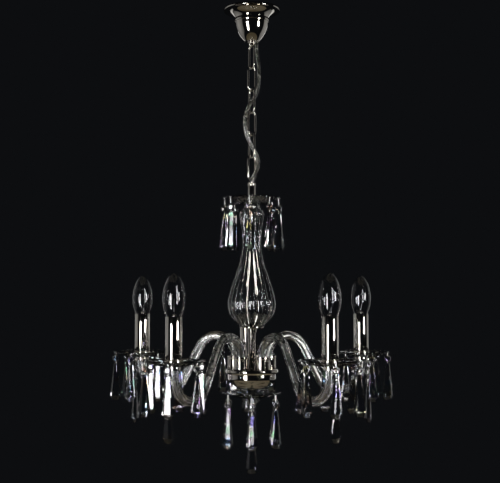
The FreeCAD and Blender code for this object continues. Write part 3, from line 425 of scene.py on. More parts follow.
def wire_ring(bend: float, wire: float, leg: float, sides: int = 16, steps: int = 14) -> Form:
    """A closed ring of round wire in the XZ plane: two half rounds joined by straight legs."""
    form = bmesh.new()
    found = bmesh.ops.create_circle(form, segments=sides, radius=wire / 2 * MM,
                                    matrix=Matrix.Translation((bend * MM, 0, -leg * MM)))
    edges = list({e for v in found["verts"] for e in v.link_edges})
    for sign in (1, -1):
        if leg:
            edges = pulled(form, edges, (0, 0, 2 * leg * MM * sign))[1]
        spun = bmesh.ops.spin(form, geom=edges + list({v for e in edges for v in e.verts}),
                              cent=(0, 0, leg * MM * sign), axis=(0, -1, 0), angle=pi,
                              steps=steps, use_duplicate=False)["geom_last"]
        edges = [part for part in spun if isinstance(part, Edge)]
    return cleaned(form, MERGE_DISTANCE * 10)


def tube(outer: float, inner: float, length: float, rings: int, sides: int,
         shape=None, twist: float = 0.0) -> Form:
    """A straight tube up along Z, in millimetres; shape gives the outer radius at an angle."""
    form = bmesh.new()
    ends = []
    spin = Matrix.Rotation(twist / rings, 3, "Z")
    for radius, formed in ((outer, shape), (inner, None)):
        if not radius:
            continue
        made = bmesh.ops.create_circle(form, segments=sides, radius=radius * MM)["verts"]
        if formed:
            for dot in made:
                dot.co *= formed(atan2(dot.co.y, dot.co.x)) * MM / dot.co.length
        low = edges = list({e for v in made for e in v.link_edges})
        for _ in range(rings):
            dots, edges = pulled(form, edges, (0, 0, length / rings * MM))
            bmesh.ops.rotate(form, verts=dots, cent=(0, 0, 0), matrix=spin)
        ends.append((low, edges))
    if inner:
        for out, back in zip(*ends):
            bmesh.ops.bridge_loops(form, edges=out + back)
    else:
        for loop in ends[0]:
            bmesh.ops.edgeloop_fill(form, edges=loop)
    bmesh.ops.recalc_face_normals(form, faces=form.faces)
    return form


def run_of(line: list[Vector]) -> list[float]:
    """How far along a line each of its points lies."""
    run = [0.0]
    for before, after in zip(line, line[1:]):
        run.append(run[-1] + (after - before).length)
    return run


def found_in(row: list[float], wanted: float) -> tuple[int, float]:
    """After which of a rising row's values one lies, and at what share of the way to the next."""
    number = next(k for k in range(1, len(row)) if row[k] >= wanted) - 1
    return number, (wanted - row[number]) / (row[number + 1] - row[number])


def laid_along(form: Form, line: list[Vector]) -> Form:
    """Bends a straight form that stands on Z along a line of points, in metres."""
    run = run_of(line)
    ways = [(line[min(number + 1, len(line) - 1)] - line[max(number - 1, 0)]).normalized()
            for number in range(len(line))]
    start = ways[0].orthogonal().normalized()
    if abs(ways[0].x) < 0.9:
        start = (Vector((1, 0, 0)) - ways[0] * ways[0].x).normalized()
    sides = [start]
    for way in ways[1:]:
        sides.append((sides[-1] - way * sides[-1].dot(way)).normalized())
    for dot in form.verts:
        number, share = found_in(run, min(max(dot.co.z, 0.0), run[-1] - MERGE_DISTANCE))
        spot = line[number].lerp(line[number + 1], share)
        way = ways[number].lerp(ways[number + 1], share).normalized()
        side = sides[number].lerp(sides[number + 1], share).normalized()
        dot.co = spot + side * dot.co.x + way.cross(side) * dot.co.y
    return form


def hulled(form: Form) -> Form:
    """The smallest closed form around a mesh's corners, with its flat facets whole."""
    bmesh.ops.delete(form, geom=list(form.edges), context="EDGES_FACES")
    bmesh.ops.convex_hull(form, input=list(form.verts))
    bmesh.ops.delete(form, geom=[v for v in form.verts if not v.link_faces], context="VERTS")
    bmesh.ops.dissolve_limit(form, angle_limit=radians(1.0), verts=form.verts,
                             edges=form.edges)
    bmesh.ops.recalc_face_normals(form, faces=form.faces)
    return form


def placed(name: str, data: bpy.types.ID) -> bpy.types.Object:
    """A new object of some data, in the scene."""
    thing = bpy.data.objects.new(name, data)
    bpy.context.scene.collection.objects.link(thing)
    return thing


def installed(form: Form, name: str, body: str, finishes: list[Finish],
              node: str = "", crease: float = 32.0) -> bpy.types.Object:
    """Makes a piece of a form and puts it on its body.

    Args:
        form: the finished form, in its place; it is freed here.
        name: the piece's name.
        body: the body that it rides on, or nothing for a piece that rides on no body.
        finishes: its finishes, in the order of its faces' numbers.
        node: the frame's node that it stands for, if any.
        crease: edges that turn by more than this many degrees stay sharp.

    Returns:
        The piece.
    """
    limit = radians(crease)
    for face in form.faces:
        face.smooth = True
    for edge in form.edges:
        edge.smooth = not edge.is_manifold or edge.calc_face_angle() < limit
    mesh = bpy.data.meshes.new(name)
    form.to_mesh(mesh)
    form.free()
    piece = placed(name, mesh)
    for finish in finishes:
        mesh.materials.append(finish.material())
    if body:
        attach(piece, body)
    if node:
        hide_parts(node)
    log.info("%s: %d faces on %s", name, len(mesh.polygons), body or "two bodies")
    return piece


def repaint(node: str, finish: Finish) -> None:
    """Gives a node of the frame that stays in view its finish."""
    thing = frame["nodes"][node]
    thing.data.materials.clear()
    thing.data.materials.append(finish.material())
    log.info("%s: kept, in %s", node, finish.name)


# ---- places ----

def top_of(node: str) -> float:
    """The height of a node's highest point, in metres."""
    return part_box(node)[1].z


def bottom_of(node: str) -> float:
    """The height of a node's lowest point, in metres."""
    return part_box(node)[0].z


def standing(spot: Vector | Triple, angle: float = 0.0) -> Matrix:
    """A place at a spot, turned about the upright line through it."""
    return Matrix.Translation(spot) @ Matrix.Rotation(angle, 4, "Z")


def at_level(height: float, reach: float = 0.0, angle: float = 0.0) -> Matrix:
    """A place at a height, and at a reach in one direction, turned to face outwards."""
    return standing((reach * cos(angle), reach * sin(angle), height), angle)


def on_axis(node: str, height: float, angle: float) -> Matrix:
    """A place on a node's own upright middle line, at a height in metres and turned."""
    low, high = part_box(node)
    return standing(((low.x + high.x) / 2, (low.y + high.y) / 2, height), angle)


def level_down(drop: float) -> Matrix:
    """A place lower by a drop in millimetres."""
    return standing((0, 0, -drop * MM))


def arm_angles() -> list[float]:
    """The direction of each arm, in radians, from the pendants' joints."""
    found = {j["name"]: j["axis"] for j in frame["joints"]}
    return [atan2(found[f"pendant_swing_{k}"][1], found[f"pendant_swing_{k}"][0])
            for k in range(1, 6)]


ARM_TURNS = arm_angles()
ARM_REACH = (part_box("bulb_2")[0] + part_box("bulb_2")[1]).xy.length / 2
ARM_END = 14.0
CHAIN_TURN = radians(35.0)


# ---- canopy, chain, cable and stem ----

@dataclass
class Canopy:
    """The ceiling canopy: coved shell, cup, and the collar and loop that carry the chain."""

    body: str = Body.CANOPY.value
    flange: float = 48.5
    edge: float = 4.0
    lip: float = 2.0
    shell: float = 17.0
    cove: float = 20.0
    wall: float = 1.2
    band: float = 30.0
    band_high: float = 6.0
    step: float = 1.5
    cup_high: float = 40.0
    floor: float = 12.0
    hole: float = 5.3
    side_curve: float = 50.0
    collar: float = 7.0
    collar_high: float = 3.0
    loop_bend: float = 4.5
    loop_drop: float = 5.6
    loop_sunk: float = 0.5
    wire: float = 3.0

    def shell_form(self) -> Form:
        """The coved shell with its flange, hollow from above."""
        inner = self.band - self.step
        rim, low = self.flange - self.lip, -self.edge + self.wall
        line = [(self.flange, 0.0), (self.flange, -self.edge)]
        line += bow((rim, -self.edge), (inner, -self.shell), self.cove, Side.LEFT, 14)
        line += [(inner, -self.shell), (inner - self.wall, -self.shell)]
        back = bow((rim - self.wall / 2, low), (inner - self.wall, -self.shell),
                   self.cove + self.wall, Side.LEFT, 14)
        line += back[:0:-1]
        line += [(self.flange - self.wall, low), (self.flange - self.wall, 0.0)]
        return soften(turned(line, 128), 0.35)

    def cup_form(self) -> Form:
        """The band and the bowl under it."""
        inner = self.band - self.step
        low = -self.cup_high + self.wall
        line = [(self.band, 0.0), (self.band, -self.band_high), (inner, -self.band_high)]
        line += bow((inner, -self.band_high), (self.floor, -self.cup_high), self.side_curve,
                    Side.RIGHT, 16)[1:]
        line += [(self.floor, -self.cup_high), (self.hole, -self.cup_high), (self.hole, low),
                 (self.floor, low)]
        line += bow((self.floor, low), (inner - self.wall, -self.band_high),
                    self.side_curve - self.wall, Side.LEFT, 16)[1:]
        line += [(inner - self.wall, -self.band_high), (inner - self.wall, 0.0)]
        return soften(turned(line, 128), 0.3)

    def loop_form(self) -> Form:
        """The collar with its wire loop, whose upper half is drawn out up to the collar."""
        cap = soften(turned([(0, 0), (self.collar, 0), (self.collar, -self.collar_high),
                             (0, -self.collar_high)], 48, closed=False), 0.3)
        drop = self.collar_high + self.loop_drop - self.loop_bend
        ring = wire_ring(self.loop_bend, self.wire, 0.0)
        bmesh.ops.bisect_plane(ring, geom=ring.verts[:] + ring.edges[:] + ring.faces[:],
                               plane_co=(0, 0, 0), plane_no=(0, 0, 1), clear_outer=True)
        rims = [e for e in ring.edges if e.is_boundary]
        pulled(ring, rims, (0, 0, (drop - self.collar_high + self.loop_sunk) * MM))
        bmesh.ops.holes_fill(ring, edges=[e for e in ring.edges if e.is_boundary])
        bmesh.ops.recalc_face_normals(ring, faces=ring.faces)
        whole = gathered([(cap, Matrix()), (ring, level_down(drop))])
        return moved(whole, at_level(0.0, 0.0, CHAIN_TURN))

    def build(self) -> None:
        """Makes the canopy's pieces."""
        installed(self.shell_form(), "canopy_shell_skin", self.body, [NICKEL], "canopy_shell")
        for form, name, node in ((self.cup_form(), "canopy_cup_skin", "canopy_cup"),
                                 (self.loop_form(), "canopy_loop", "canopy_collar")):
            installed(moved(form, at_level(top_of(node))), name, self.body, [NICKEL], node)
        repaint("ceiling_bracket", ZINC)
        repaint("canopy_nipple", ZINC)
        repaint("terminal_block", BLOCK_PLASTIC)


@dataclass
class Chain:
    """Six long links of round wire."""

    links: int = 6
    wire: float = 3.0
    width: float = 18.0
    long: float = 45.2

    def build(self) -> None:
        """Makes each link about its own node's middle."""
        bend = (self.width - self.wire) / 2
        leg = (self.long - self.wire) / 2 - bend
        for number in range(1, self.links + 1):
            node = f"chain_link_{number}"
            level = (bottom_of(node) + top_of(node)) / 2
            turn = CHAIN_TURN - QUARTER_TURN if number % 2 else CHAIN_TURN
            form = moved(wire_ring(bend, self.wire, leg), at_level(level, 0.0, turn))
            installed(form, f"link_{number}_wire", f"link_{number}", [NICKEL], node)


@dataclass
class Cable:
    """The clear power cable with its tinned cores, which the chain carries all the way down.

    The route repeats the part's own points, in metres.
    """

    route: tuple[Triple, ...] = (
        (0.0120, 0.0092, -0.0180), (0.0120, 0.0092, -0.0320), (0.0099, 0.0073, -0.0470),
        (0.0082, 0.0063, -0.0620), (0.0096, 0.0066, -0.0780), (0.0120, 0.0083, -0.0960),
        (0.0126, 0.0090, -0.1150), (0.0121, 0.0086, -0.1340), (0.0076, 0.0052, -0.1500),
        (-0.0003, -0.0004, -0.1625), (-0.0076, -0.0051, -0.1750), (-0.0117, -0.0082, -0.1900),
        (-0.0119, -0.0083, -0.2080), (-0.0087, -0.0064, -0.2245), (-0.0005, -0.0002, -0.2390),
        (0.0075, 0.0054, -0.2515), (0.0122, 0.0049, -0.2660), (0.0100, -0.0022, -0.2800),
        (0.0036, -0.0079, -0.2915), (-0.0008, -0.0086, -0.3024),
    )
    sheath: float = 3.0
    bore: float = 2.2
    core: float = 0.62
    core_circle: float = 1.15
    cores: int = 3
    lay: float = 26.0
    ring: float = 1.6

    def line(self) -> list[Vector]:
        """The smooth line of the route's NURBS spline."""
        curve = bpy.data.curves.new("cable_route", "CURVE")
        curve.dimensions = "3D"
        curve.resolution_u = 12
        spline = curve.splines.new("NURBS")
        spline.points.add(len(self.route) - 1)
        for point, place in zip(spline.points, self.route):
            point.co = (*place, 1.0)
        spline.order_u = 3
        spline.use_endpoint_u = True
        holder = bpy.data.objects.new("cable_route", curve)
        mesh = bpy.data.meshes.new_from_object(holder)
        line = [v.co.copy() for v in mesh.vertices]
        bpy.data.objects.remove(holder)
        bpy.data.meshes.remove(mesh)
        bpy.data.curves.remove(curve)
        return line

    def build(self) -> None:
        """Makes one stretch of cable for each hinge of the chain, from half a link above it to
        half a link below, so that the stretches meet where nothing bends."""
        hinges = [j for j in frame["joints"] if j["name"].startswith("chain_swing_")]
        levels = [j["pos_m"][2] for j in hinges]
        line = self.line()
        run = run_of(line)
        middles = [(a + b) / 2 for a, b in zip(levels, levels[1:])]
        depths = [-point.z for point in line]
        cuts = [0.0]
        for middle in middles:
            k, share = found_in(depths, -middle)
            cuts.append(run[k] + share * (run[k + 1] - run[k]))
        cuts.append(run[-1])
        for number, (joint, level) in enumerate(zip(hinges, levels)):
            form = laid_along(self.stretch(cuts[number], cuts[number + 1]), line)
            piece = installed(form, f"cable_{number + 1}", "", [SHEATH, CORES])
            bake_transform(piece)
            if number == 0:
                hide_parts("power_cable")

    def stretch(self, start: float, stop: float) -> Form:
        """The straight sheath and cores between two lengths along the cable, in metres."""
        long = (stop - start) / MM
        rings = max(8, round(long / self.ring))
        parts = [(dressed(tube(self.sheath, self.bore, long, rings, 20), 0), Matrix())]
        turn = WHOLE_TURN * long / self.lay
        strand = dressed(tube(self.core, 0.0, long, rings, 8), 1)
        for dot in strand.verts:
            dot.co.x += self.core_circle * MM
            dot.co = Matrix.Rotation(turn * dot.co.z / (stop - start), 3, "Z") @ dot.co
        first = WHOLE_TURN * start / MM / self.lay
        for number in range(self.cores):
            parts.append((strand, at_level(0.0, 0.0, first + WHOLE_TURN * number / self.cores)))
        return moved(gathered(parts), standing((0, 0, start)))


@dataclass
class Stem:
    """The eye, its cap and cable gland, and the polished tube through the whole fixture."""

    body: str = Body.FIXTURE.value
    ring: float = 5.0
    wire: float = 3.0
    cap: float = 6.8
    cap_high: float = 5.5
    chamfer: float = 1.4
    gland: float = 3.8
    gland_long: float = 5.0
    tube: float = 6.2
    bore: float = 5.0

    def build(self) -> None:
        """Makes the stem's pieces."""
        top = top_of("stem_tube")
        cap = soften(turned([(0, self.cap_high), (self.cap - self.chamfer, self.cap_high),
                             (self.cap, self.cap_high - self.chamfer), (self.cap, 0), (0, 0)],
                            48, closed=False), 0.3, 30.0)
        ring_level = top_of("stem_eye") - (self.ring + self.wire / 2) * MM
        before, end = (Vector(point) for point in Cable().route[-2:])
        sleeve = soften(tube(self.gland, 0.0, self.gland_long, 1, 24), 0.3)
        aim = (end - before).to_track_quat("Z", "Y").to_matrix().to_4x4()
        whole = gathered([
            (cap, at_level(top)),
            (wire_ring(self.ring, self.wire, 0.0),
             at_level(ring_level, 0.0, CHAIN_TURN - QUARTER_TURN)),
            (sleeve, Matrix.Translation(end) @ aim),
        ])
        installed(whole, "stem_eye_ring", self.body, [NICKEL], "stem_eye")
        long = (top - bottom_of("stem_tube")) / MM
        pipe = soften(turned([(self.bore, -long), (self.tube, -long), (self.tube, 0),
                              (self.bore, 0)], 48), 0.2)
        installed(moved(pipe, at_level(top)), "stem_pipe", self.body, [NICKEL], "stem_tube")
        repaint("tie_rod", ZINC)


# ---- glass column ----

@dataclass
class Dish:
    """A pressed glass dish with a scalloped rim and rays in its bowl."""

    deep: float
    hole: float
    foot: float = 0.0
    radius: float = 49.5
    edge: float = 2.0
    lip: float = 6.0
    floor: float = 3.0
    curve: float = 70.0
    flat: float = 13.0
    rays: int = 24
    scallop: float = 1.1
    ray: float = 6.4

    def form(self) -> Form:
        """The dish, its rim at its own zero."""
        lip, low, inside = self.radius - self.lip, -self.deep, -self.deep + self.floor
        line = [(self.radius - 0.6, 0), (self.radius, -0.6), (self.radius, -self.edge + 0.5),
                (self.radius - 0.5, -self.edge)]
        line += bow((lip, -self.edge), (self.flat, low), self.curve, Side.RIGHT, 10)
        line += [(self.flat, low)]
        if self.foot:
            line += [(self.flat, low - self.foot)]
        line += [(self.hole, low - self.foot), (self.hole, inside)]
        line += bow((self.flat, inside), (lip, 0), self.curve, Side.LEFT, 10)
        line += [(lip, 0)]
        under = -self.edge * 0.9

        def depth(radius: float, height: float) -> float:
            """Scallops on the rim and rays under the bowl, fading towards the middle."""
            if radius > self.radius - 1.2:
                return self.scallop
            share = (radius - self.flat) / (self.radius - self.flat)
            return self.ray * share * (1 - share) if height < under and share > 0 else 0.0

        return flute(turned(line, self.rays * 8), self.rays, depth)


@dataclass
class Button:
    """A fluted glass button, bored for the stem."""

    radius: float
    high: float
    hole: float
    ribs: int = 12
    groove: float = 2.2

    def form(self) -> Form:
        """The button, its top at its own zero."""
        shape = ((0.72, 0.0), (0.95, 0.22), (1.0, 0.5), (0.95, 0.78), (0.72, 1.0))
        line = eased([(self.radius * out, -self.high * down) for out, down in shape], 5)
        form = turned([(self.hole, 0.0)] + line + [(self.hole, -self.high)], self.ribs * 10)
        return flute(form, self.ribs, lambda r, h: self.groove if r > self.hole + 1 else 0.0)


@dataclass
class Vase:
    """The tall fluted glass baluster."""

    outline: tuple[tuple[float, float], ...] = (
        (14.0, 0.0), (18.5, -3.6), (21.3, -9.5), (20.4, -19.0), (17.6, -36.0), (15.9, -58.0),
        (16.1, -72.0), (21.0, -95.0), (27.5, -114.5), (33.6, -132.0), (38.7, -150.5),
        (41.0, -163.0), (39.0, -177.5), (32.0, -190.0), (24.5, -198.0), (20.0, -203.0),
    )
    wall: float = 3.2
    ribs: int = 22
    groove: float = 2.2
    foot_fade: float = 8.0
    mouth_fade: float = 24.0
    full: float = 30.0

    def form(self) -> Form:
        """The vase, its mouth at its own zero, with grooves that fade towards the mouth."""
        out = eased(list(self.outline), 6)
        inside = [(r - self.wall, h) for r, h in reversed(out)]
        foot = self.outline[-1][1]

        def depth(radius: float, height: float) -> float:
            """The groove's depth: none inside, at the mouth and at the foot, most at the belly."""
            near = min(out, key=lambda spot: abs(spot[1] - height))[0]
            if radius < near - self.wall / 2:
                return 0.0
            fade = min(1.0, (height - foot) / self.foot_fade, -height / self.mouth_fade)
            return self.groove * max(0.0, fade) * min(1.0, radius / self.full)

        return flute(turned(out + inside, self.ribs * 10), self.ribs, depth)


@dataclass
class Column:
    """What the tie rod clamps between the chain and the finial."""

    body: str = Body.FIXTURE.value
    seat: float = 20.5
    hub: float = 45.0
    hub_thick: float = 9.0
    stem: float = 6.5
    rod: float = 3.8

    def build(self) -> None:
        """Makes the column's pieces, from the top down, each made below its own zero."""
        for form, node, name, finish, crease in (
            (Dish(14.0, self.stem, 4.0).form(), "top_dish", "top_dish_glass", PRESSED_GLASS, 32.0),
            (Button(12.0, 8.0, self.stem).form(), "top_collar", "top_button", PRESSED_GLASS, 50.0),
            (Vase().form(), "vase", "vase_glass", RIBBED_GLASS, 22.0),
            (self.seat_form(), "vase_seat", "vase_seat_cup", NICKEL, 32.0),
            (self.plate_form(), "hub_plate", "hub_plate_disc", NICKEL, 32.0),
            (self.bowl_form(), "hub_bowl", "hub_bowl_shell", NICKEL, 32.0),
            (Dish(10.0, self.rod).form(), "bottom_dish", "bottom_dish_glass", PRESSED_GLASS, 32.0),
            (Button(13.0, 8.0, self.rod).form(), "bottom_collar", "bottom_button", PRESSED_GLASS,
             50.0),
            (self.finial_form(), "finial", "finial_tip", NICKEL, 32.0),
        ):
            moved(form, at_level(top_of(node)))
            installed(form, name, self.body, [finish], node, crease)

    def seat_form(self) -> Form:
        """The cup under the vase, with its collar."""
        line = [(self.stem, 0), (self.seat, 0), (self.seat, -1.6)]
        line += bow((self.seat - 0.8, -1.9), (8.0, -4.2), 18.0, Side.LEFT, 6)
        line += [(8.0, -4.2), (8.0, -9.5), (self.stem, -9.5)]
        return soften(turned(line, 64), 0.25)

    def plate_form(self) -> Form:
        """The hub's flange, rolled at both edges."""
        high, foot = self.hub_thick, self.hub - 3.0
        line = [(self.rod, 0.0)]
        line += bow((self.hub - 4.0, 0.0), (self.hub, -3.0), 4.0, Side.RIGHT, 6)
        line += [(self.hub, -3.0), (self.hub, -5.0)]
        line += bow((self.hub, -5.0), (foot, -high), 5.0, Side.RIGHT, 6)[1:]
        line += [(foot, -high), (self.rod, -high)]
        return soften(turned(line, 128), 0.2)

    def bowl_form(self) -> Form:
        """The bowl under the hub and its neck."""
        line = [(41.0, 0.0), (41.0, -8.4)]
        line += eased([(40.6, -9.2), (38.6, -12.2), (34.0, -17.0), (25.0, -23.2), (14.0, -25.2),
                       (7.4, -25.6)], 5)
        line += [(7.0, -38.0), (self.rod, -38.0), (self.rod, -24.0), (23.5, -22.5), (32.5, -16.2),
                 (39.5, -8.2), (39.5, 0.0)]
        return soften(turned(line, 128), 0.25, 50.0)

    def finial_form(self) -> Form:
        """The turned finial that closes the column."""
        line = [(0, 0), (7.0, 0), (7.0, -2.4), (6.2, -3.2), (4.7, -4.6), (4.3, -6.2), (4.5, -8.0),
                (3.6, -9.3), (2.5, -10.0), (0, -10.0)]
        return soften(turned(line, 48, closed=False), 0.2, 50.0)


# ---- arms and lamps ----

@dataclass
class GlassArm:
    """A ribbed glass arm: up, over, down a slope, under and up again."""

    circle: float = 30.0
    rise: float = 21.0
    over: float = 34.0
    under: float = 40.0
    last: float = 44.0
    sag: float = 42.0
    radius: float = 7.5
    bore: float = 3.4
    ribs: int = 12
    groove: float = 0.8
    rings: int = 90
    twist: float = radians(18.0)
    step: float = radians(5.0)

    def line(self) -> list[Vector]:
        """The middle line in the arm's own upright plane, from the hub plate, in metres."""
        reach = ARM_REACH / MM
        crest = Vector((self.circle + self.over, self.rise))
        valley = Vector((reach - self.last, self.under - self.sag))
        rounding = Vector((reach - self.last, self.last - self.sag))
        span = valley - crest
        slope = atan2(span.y, span.x) - asin((self.over + self.under) / span.length)
        points = [Vector((self.circle, 0.0)), Vector((self.circle, self.rise))]
        points += self.arc(crest, self.over, pi, slope + QUARTER_TURN)
        points += self.arc(valley, self.under, slope - QUARTER_TURN, -QUARTER_TURN)
        points += self.arc(rounding, self.last, -QUARTER_TURN, 0.0)
        points.append(Vector((reach, ARM_END)))
        line = []
        for point in points:
            spot = Vector((point.x * MM, 0, point.y * MM))
            if not line or (spot - line[-1]).length > MM / 2:
                line.append(spot)
        return line

    def arc(self, middle: Vector, radius: float, start: float, stop: float) -> list[Vector]:
        """Points of a round stretch between two angles, both ends among them."""
        count = max(3, round(abs(stop - start) / self.step))
        angles = [start + (stop - start) * k / count for k in range(count + 1)]
        return [middle + Vector((cos(a), sin(a))) * radius for a in angles]

    def form(self) -> Form:
        """The arm with its ribs and bore, in its own plane."""
        line = self.line()

        def rib(angle: float) -> float:
            """The outer radius at an angle: round ribs with grooves between them."""
            return self.radius - self.groove * (1 - abs(cos(angle * self.ribs / 2)))

        straight = tube(self.radius, self.bore, run_of(line)[-1] / MM, self.rings,
                        self.ribs * 8, rib, self.twist)
        return laid_along(straight, line)


@dataclass
class CandleCup:
    """The metal cup on an arm's end: ferrule, neck, pan and the lug for its pendant."""

    ferrule: float = 11.0
    ferrule_high: float = 4.5
    floor: float = 1.5
    neck: float = 5.7
    pan: float = 16.0
    pan_level: float = 4.8
    pan_high: float = 7.0
    pan_edge: float = 3.0
    bore: float = 13.3
    arm: float = 7.8
    lug: float = 15.5
    lug_wide: float = 4.0
    lug_high: float = 2.5

    def form(self) -> Form:
        """The cup, its own zero at the arm's end."""
        top, inside = self.pan_level + self.pan_high, self.pan_level + self.floor
        flat, edge = self.pan - self.pan_edge, self.pan_level + self.pan_edge
        line = [(0, 0), (self.arm, 0), (self.arm, -self.ferrule_high),
                (self.ferrule, -self.ferrule_high), (self.ferrule, self.floor),
                (self.neck, self.floor), (self.neck, self.pan_level), (flat, self.pan_level)]
        line += bow((flat, self.pan_level), (self.pan, edge), 3.2, Side.LEFT, 5)[1:]
        line += [(self.pan, edge), (self.pan - 0.9, top - 1.2), (self.pan, top),
                 (self.bore, top), (self.bore, inside), (0, inside)]
        cup = soften(turned(line, 64, closed=False), 0.2)
        lug = bmesh.new()
        bmesh.ops.create_cube(lug, size=1.0)
        long = self.lug - self.ferrule + 1.0
        bmesh.ops.scale(lug, vec=(long * MM, self.lug_wide * MM, self.lug_high * MM),
                        verts=lug.verts)
        soften(lug, 0.5)
        level = self.lug_high / 2 - self.ferrule_high
        return gathered([(cup, Matrix()), (lug, at_level(level * MM, (self.lug - long / 2) * MM))])


@dataclass
class Lamp:
    """A clear candle lamp: glass flame, screw cap, glass stem, supports and filament."""

    contact: float = 3.5
    cap: float = 6.9
    cap_long: float = 17.0
    neck: float = 6.2
    wall: float = 0.55
    threads: int = 5
    pitch: float = 2.4
    stem_foot: float = 24.0
    lead: float = 0.3
    coil: float = 0.16
    coil_circle: float = 0.45
    span: float = 6.4
    coil_level: float = 57.5
    windings: int = 40
    turn: float = 0.6

    def glass_form(self) -> Form:
        """The thin glass flame, closed at its tip and hollow down to its cap."""
        out = eased([(self.neck, self.cap_long), (7.2, 22.0), (9.4, 28.0), (11.5, 33.0),
                     (14.6, 41.0), (16.7, 49.0), (17.5, 57.0), (17.3, 66.0), (16.0, 75.0),
                     (13.3, 84.0), (9.8, 91.5), (6.0, 96.8), (3.0, 99.1), (0.0, 100.0)], 5)
        inner = [(max(r - self.wall, 0.0), h if h < 92 else h - self.wall)
                 for r, h in reversed(out)]
        return turned(out + [p for p in inner if p[0] > 0 or p is inner[0]], 64)

    def cap_form(self) -> Form:
        """The screw cap with its rolled thread and the end contact."""
        line = [(0, 0), (self.contact, 0), (self.contact, 1.0), (self.neck, 3.0)]
        for number in range(self.threads):
            low = 3.2 + number * self.pitch
            line += [(self.neck, low), (6.75, low + 0.6), (self.cap, low + 1.1), (6.75, low + 1.6)]
        line += [(6.3, 15.4), (6.3, self.cap_long), (0, self.cap_long)]
        return turned(line, 32, closed=False)

    def stem_form(self) -> Form:
        """The glass stem inside, flared at its foot and pinched at its top."""
        line = eased([(5.4, self.stem_foot), (3.4, 27.0), (2.5, 31.0), (2.2, 38.0), (1.5, 42.0),
                      (0.0, 43.0)], 4)
        form = turned([(0, self.stem_foot)] + line, 20, closed=False)
        for dot in form.verts:
            dot.co.y *= 1.0 - 0.55 * min(max((dot.co.z / MM - 30.0) / 8.0, 0.0), 1.0)
        return form

    def wire_form(self) -> Form:
        """Two lead wires that spread to the filament, and the filament's coil between them."""
        parts = []
        for sign in (-1, 1):
            path = ((1.2, 41.0), (2.0, 46.0), (4.4, 52.0), (self.span, self.coil_level))
            lead = laid_along(tube(self.lead, 0.0, 18.5, 6, 6),
                              [Vector((sign * x * MM, 0, z * MM)) for x, z in path])
            parts.append((lead, Matrix()))
        coil = []
        for k in range(self.windings + 1):
            share = k / self.windings
            rise = 2.0 * sin(pi * share) + self.coil_circle * cos(k * 1.6)
            coil.append(Vector(((2 * share - 1) * self.span, self.coil_circle * sin(k * 1.6),
                                self.coil_level + rise)) * MM)
        wound = tube(self.coil, 0.0, run_of(coil)[-1] / MM, 2 * self.windings, 5)
        parts.append((laid_along(wound, coil), Matrix()))
        return gathered(parts)

    def build(self, number: int) -> None:
        """Makes one lamp in its node's place."""
        node = f"bulb_{number}"
        place = on_axis(node, bottom_of(node), ARM_TURNS[number - 1] + self.turn)
        inside = gathered([(dressed(self.cap_form(), 0), Matrix()),
                           (dressed(self.wire_form(), 1), Matrix())])
        for form, part, finishes, stands_for, crease in (
            (inside, "cap", [CAP_METAL, FILAMENT], "", 50.0),
            (self.stem_form(), "stem", [LAMP_GLASS], "", 50.0),
            (self.glass_form(), "glass", [LAMP_GLASS], node, 60.0),
        ):
            installed(moved(form, place), f"lamp_{number}_{part}", f"lamp_{number}", finishes,
                      stands_for, crease)


@dataclass
class Arms:
    """The five arms with all that stands on their ends."""

    body: str = Body.FIXTURE.value
    socket: float = 13.0
    socket_bore: float = 7.8
    socket_high: float = 21.0
    socket_circle: float = 30.0
    waist: float = 12.5
    sleeve: float = 13.0
    sleeve_high: float = 71.5

    def socket_form(self) -> Form:
        """A turned socket with a bead at each end, its foot at its own zero."""
        half = [(self.socket_bore, 0), (self.socket, 0), (self.socket, 3.4),
                (self.socket - 0.6, 4.2), (self.waist, 5.6)]
        line = half + [(radius, self.socket_high - level) for radius, level in reversed(half)]
        return soften(turned(line, 64), 0.3)

    def sleeve_form(self) -> Form:
        """The polished tube round a candle's lampholder."""
        inner = self.sleeve - 1.0
        line = [(inner, 0), (self.sleeve, 0), (self.sleeve, self.sleeve_high),
                (inner, self.sleeve_high)]
        return soften(turned(line, 64), 0.2)

    def build(self) -> None:
        """Makes the arms and their fittings."""
        hub = top_of("hub_plate")
        for form, level, reach, name, node in (
            (self.socket_form(), hub, self.socket_circle * MM, "arm_socket_cups", "arm_sockets"),
            (CandleCup().form(), hub + ARM_END * MM, ARM_REACH, "candle_cup_set", "candle_cups"),
            (self.sleeve_form(), bottom_of("candle_tubes"), ARM_REACH, "candle_sleeves",
             "candle_tubes"),
        ):
            spread = gathered([(form, at_level(level, reach, turn)) for turn in ARM_TURNS])
            installed(spread, name, self.body, [NICKEL], node)
        arm = GlassArm().form()
        dish = Dish(9.5, 6.0).form()
        for number, turn in enumerate(ARM_TURNS, start=1):
            installed(gathered([(arm, at_level(hub, 0.0, turn))]), f"arm_{number}_glass",
                      self.body, [RIBBED_GLASS], f"arm_{number}", 50.0)
            rim = at_level(top_of(f"arm_dish_{number}"), ARM_REACH, turn)
            installed(gathered([(dish, rim)]), f"dish_{number}_glass", self.body, [PRESSED_GLASS],
                      f"arm_dish_{number}")
            Lamp().build(number)
        repaint("lampholders", HOLDER_PLASTIC)
        repaint("arm_wires", CORES)


# ---- cut-glass drops ----

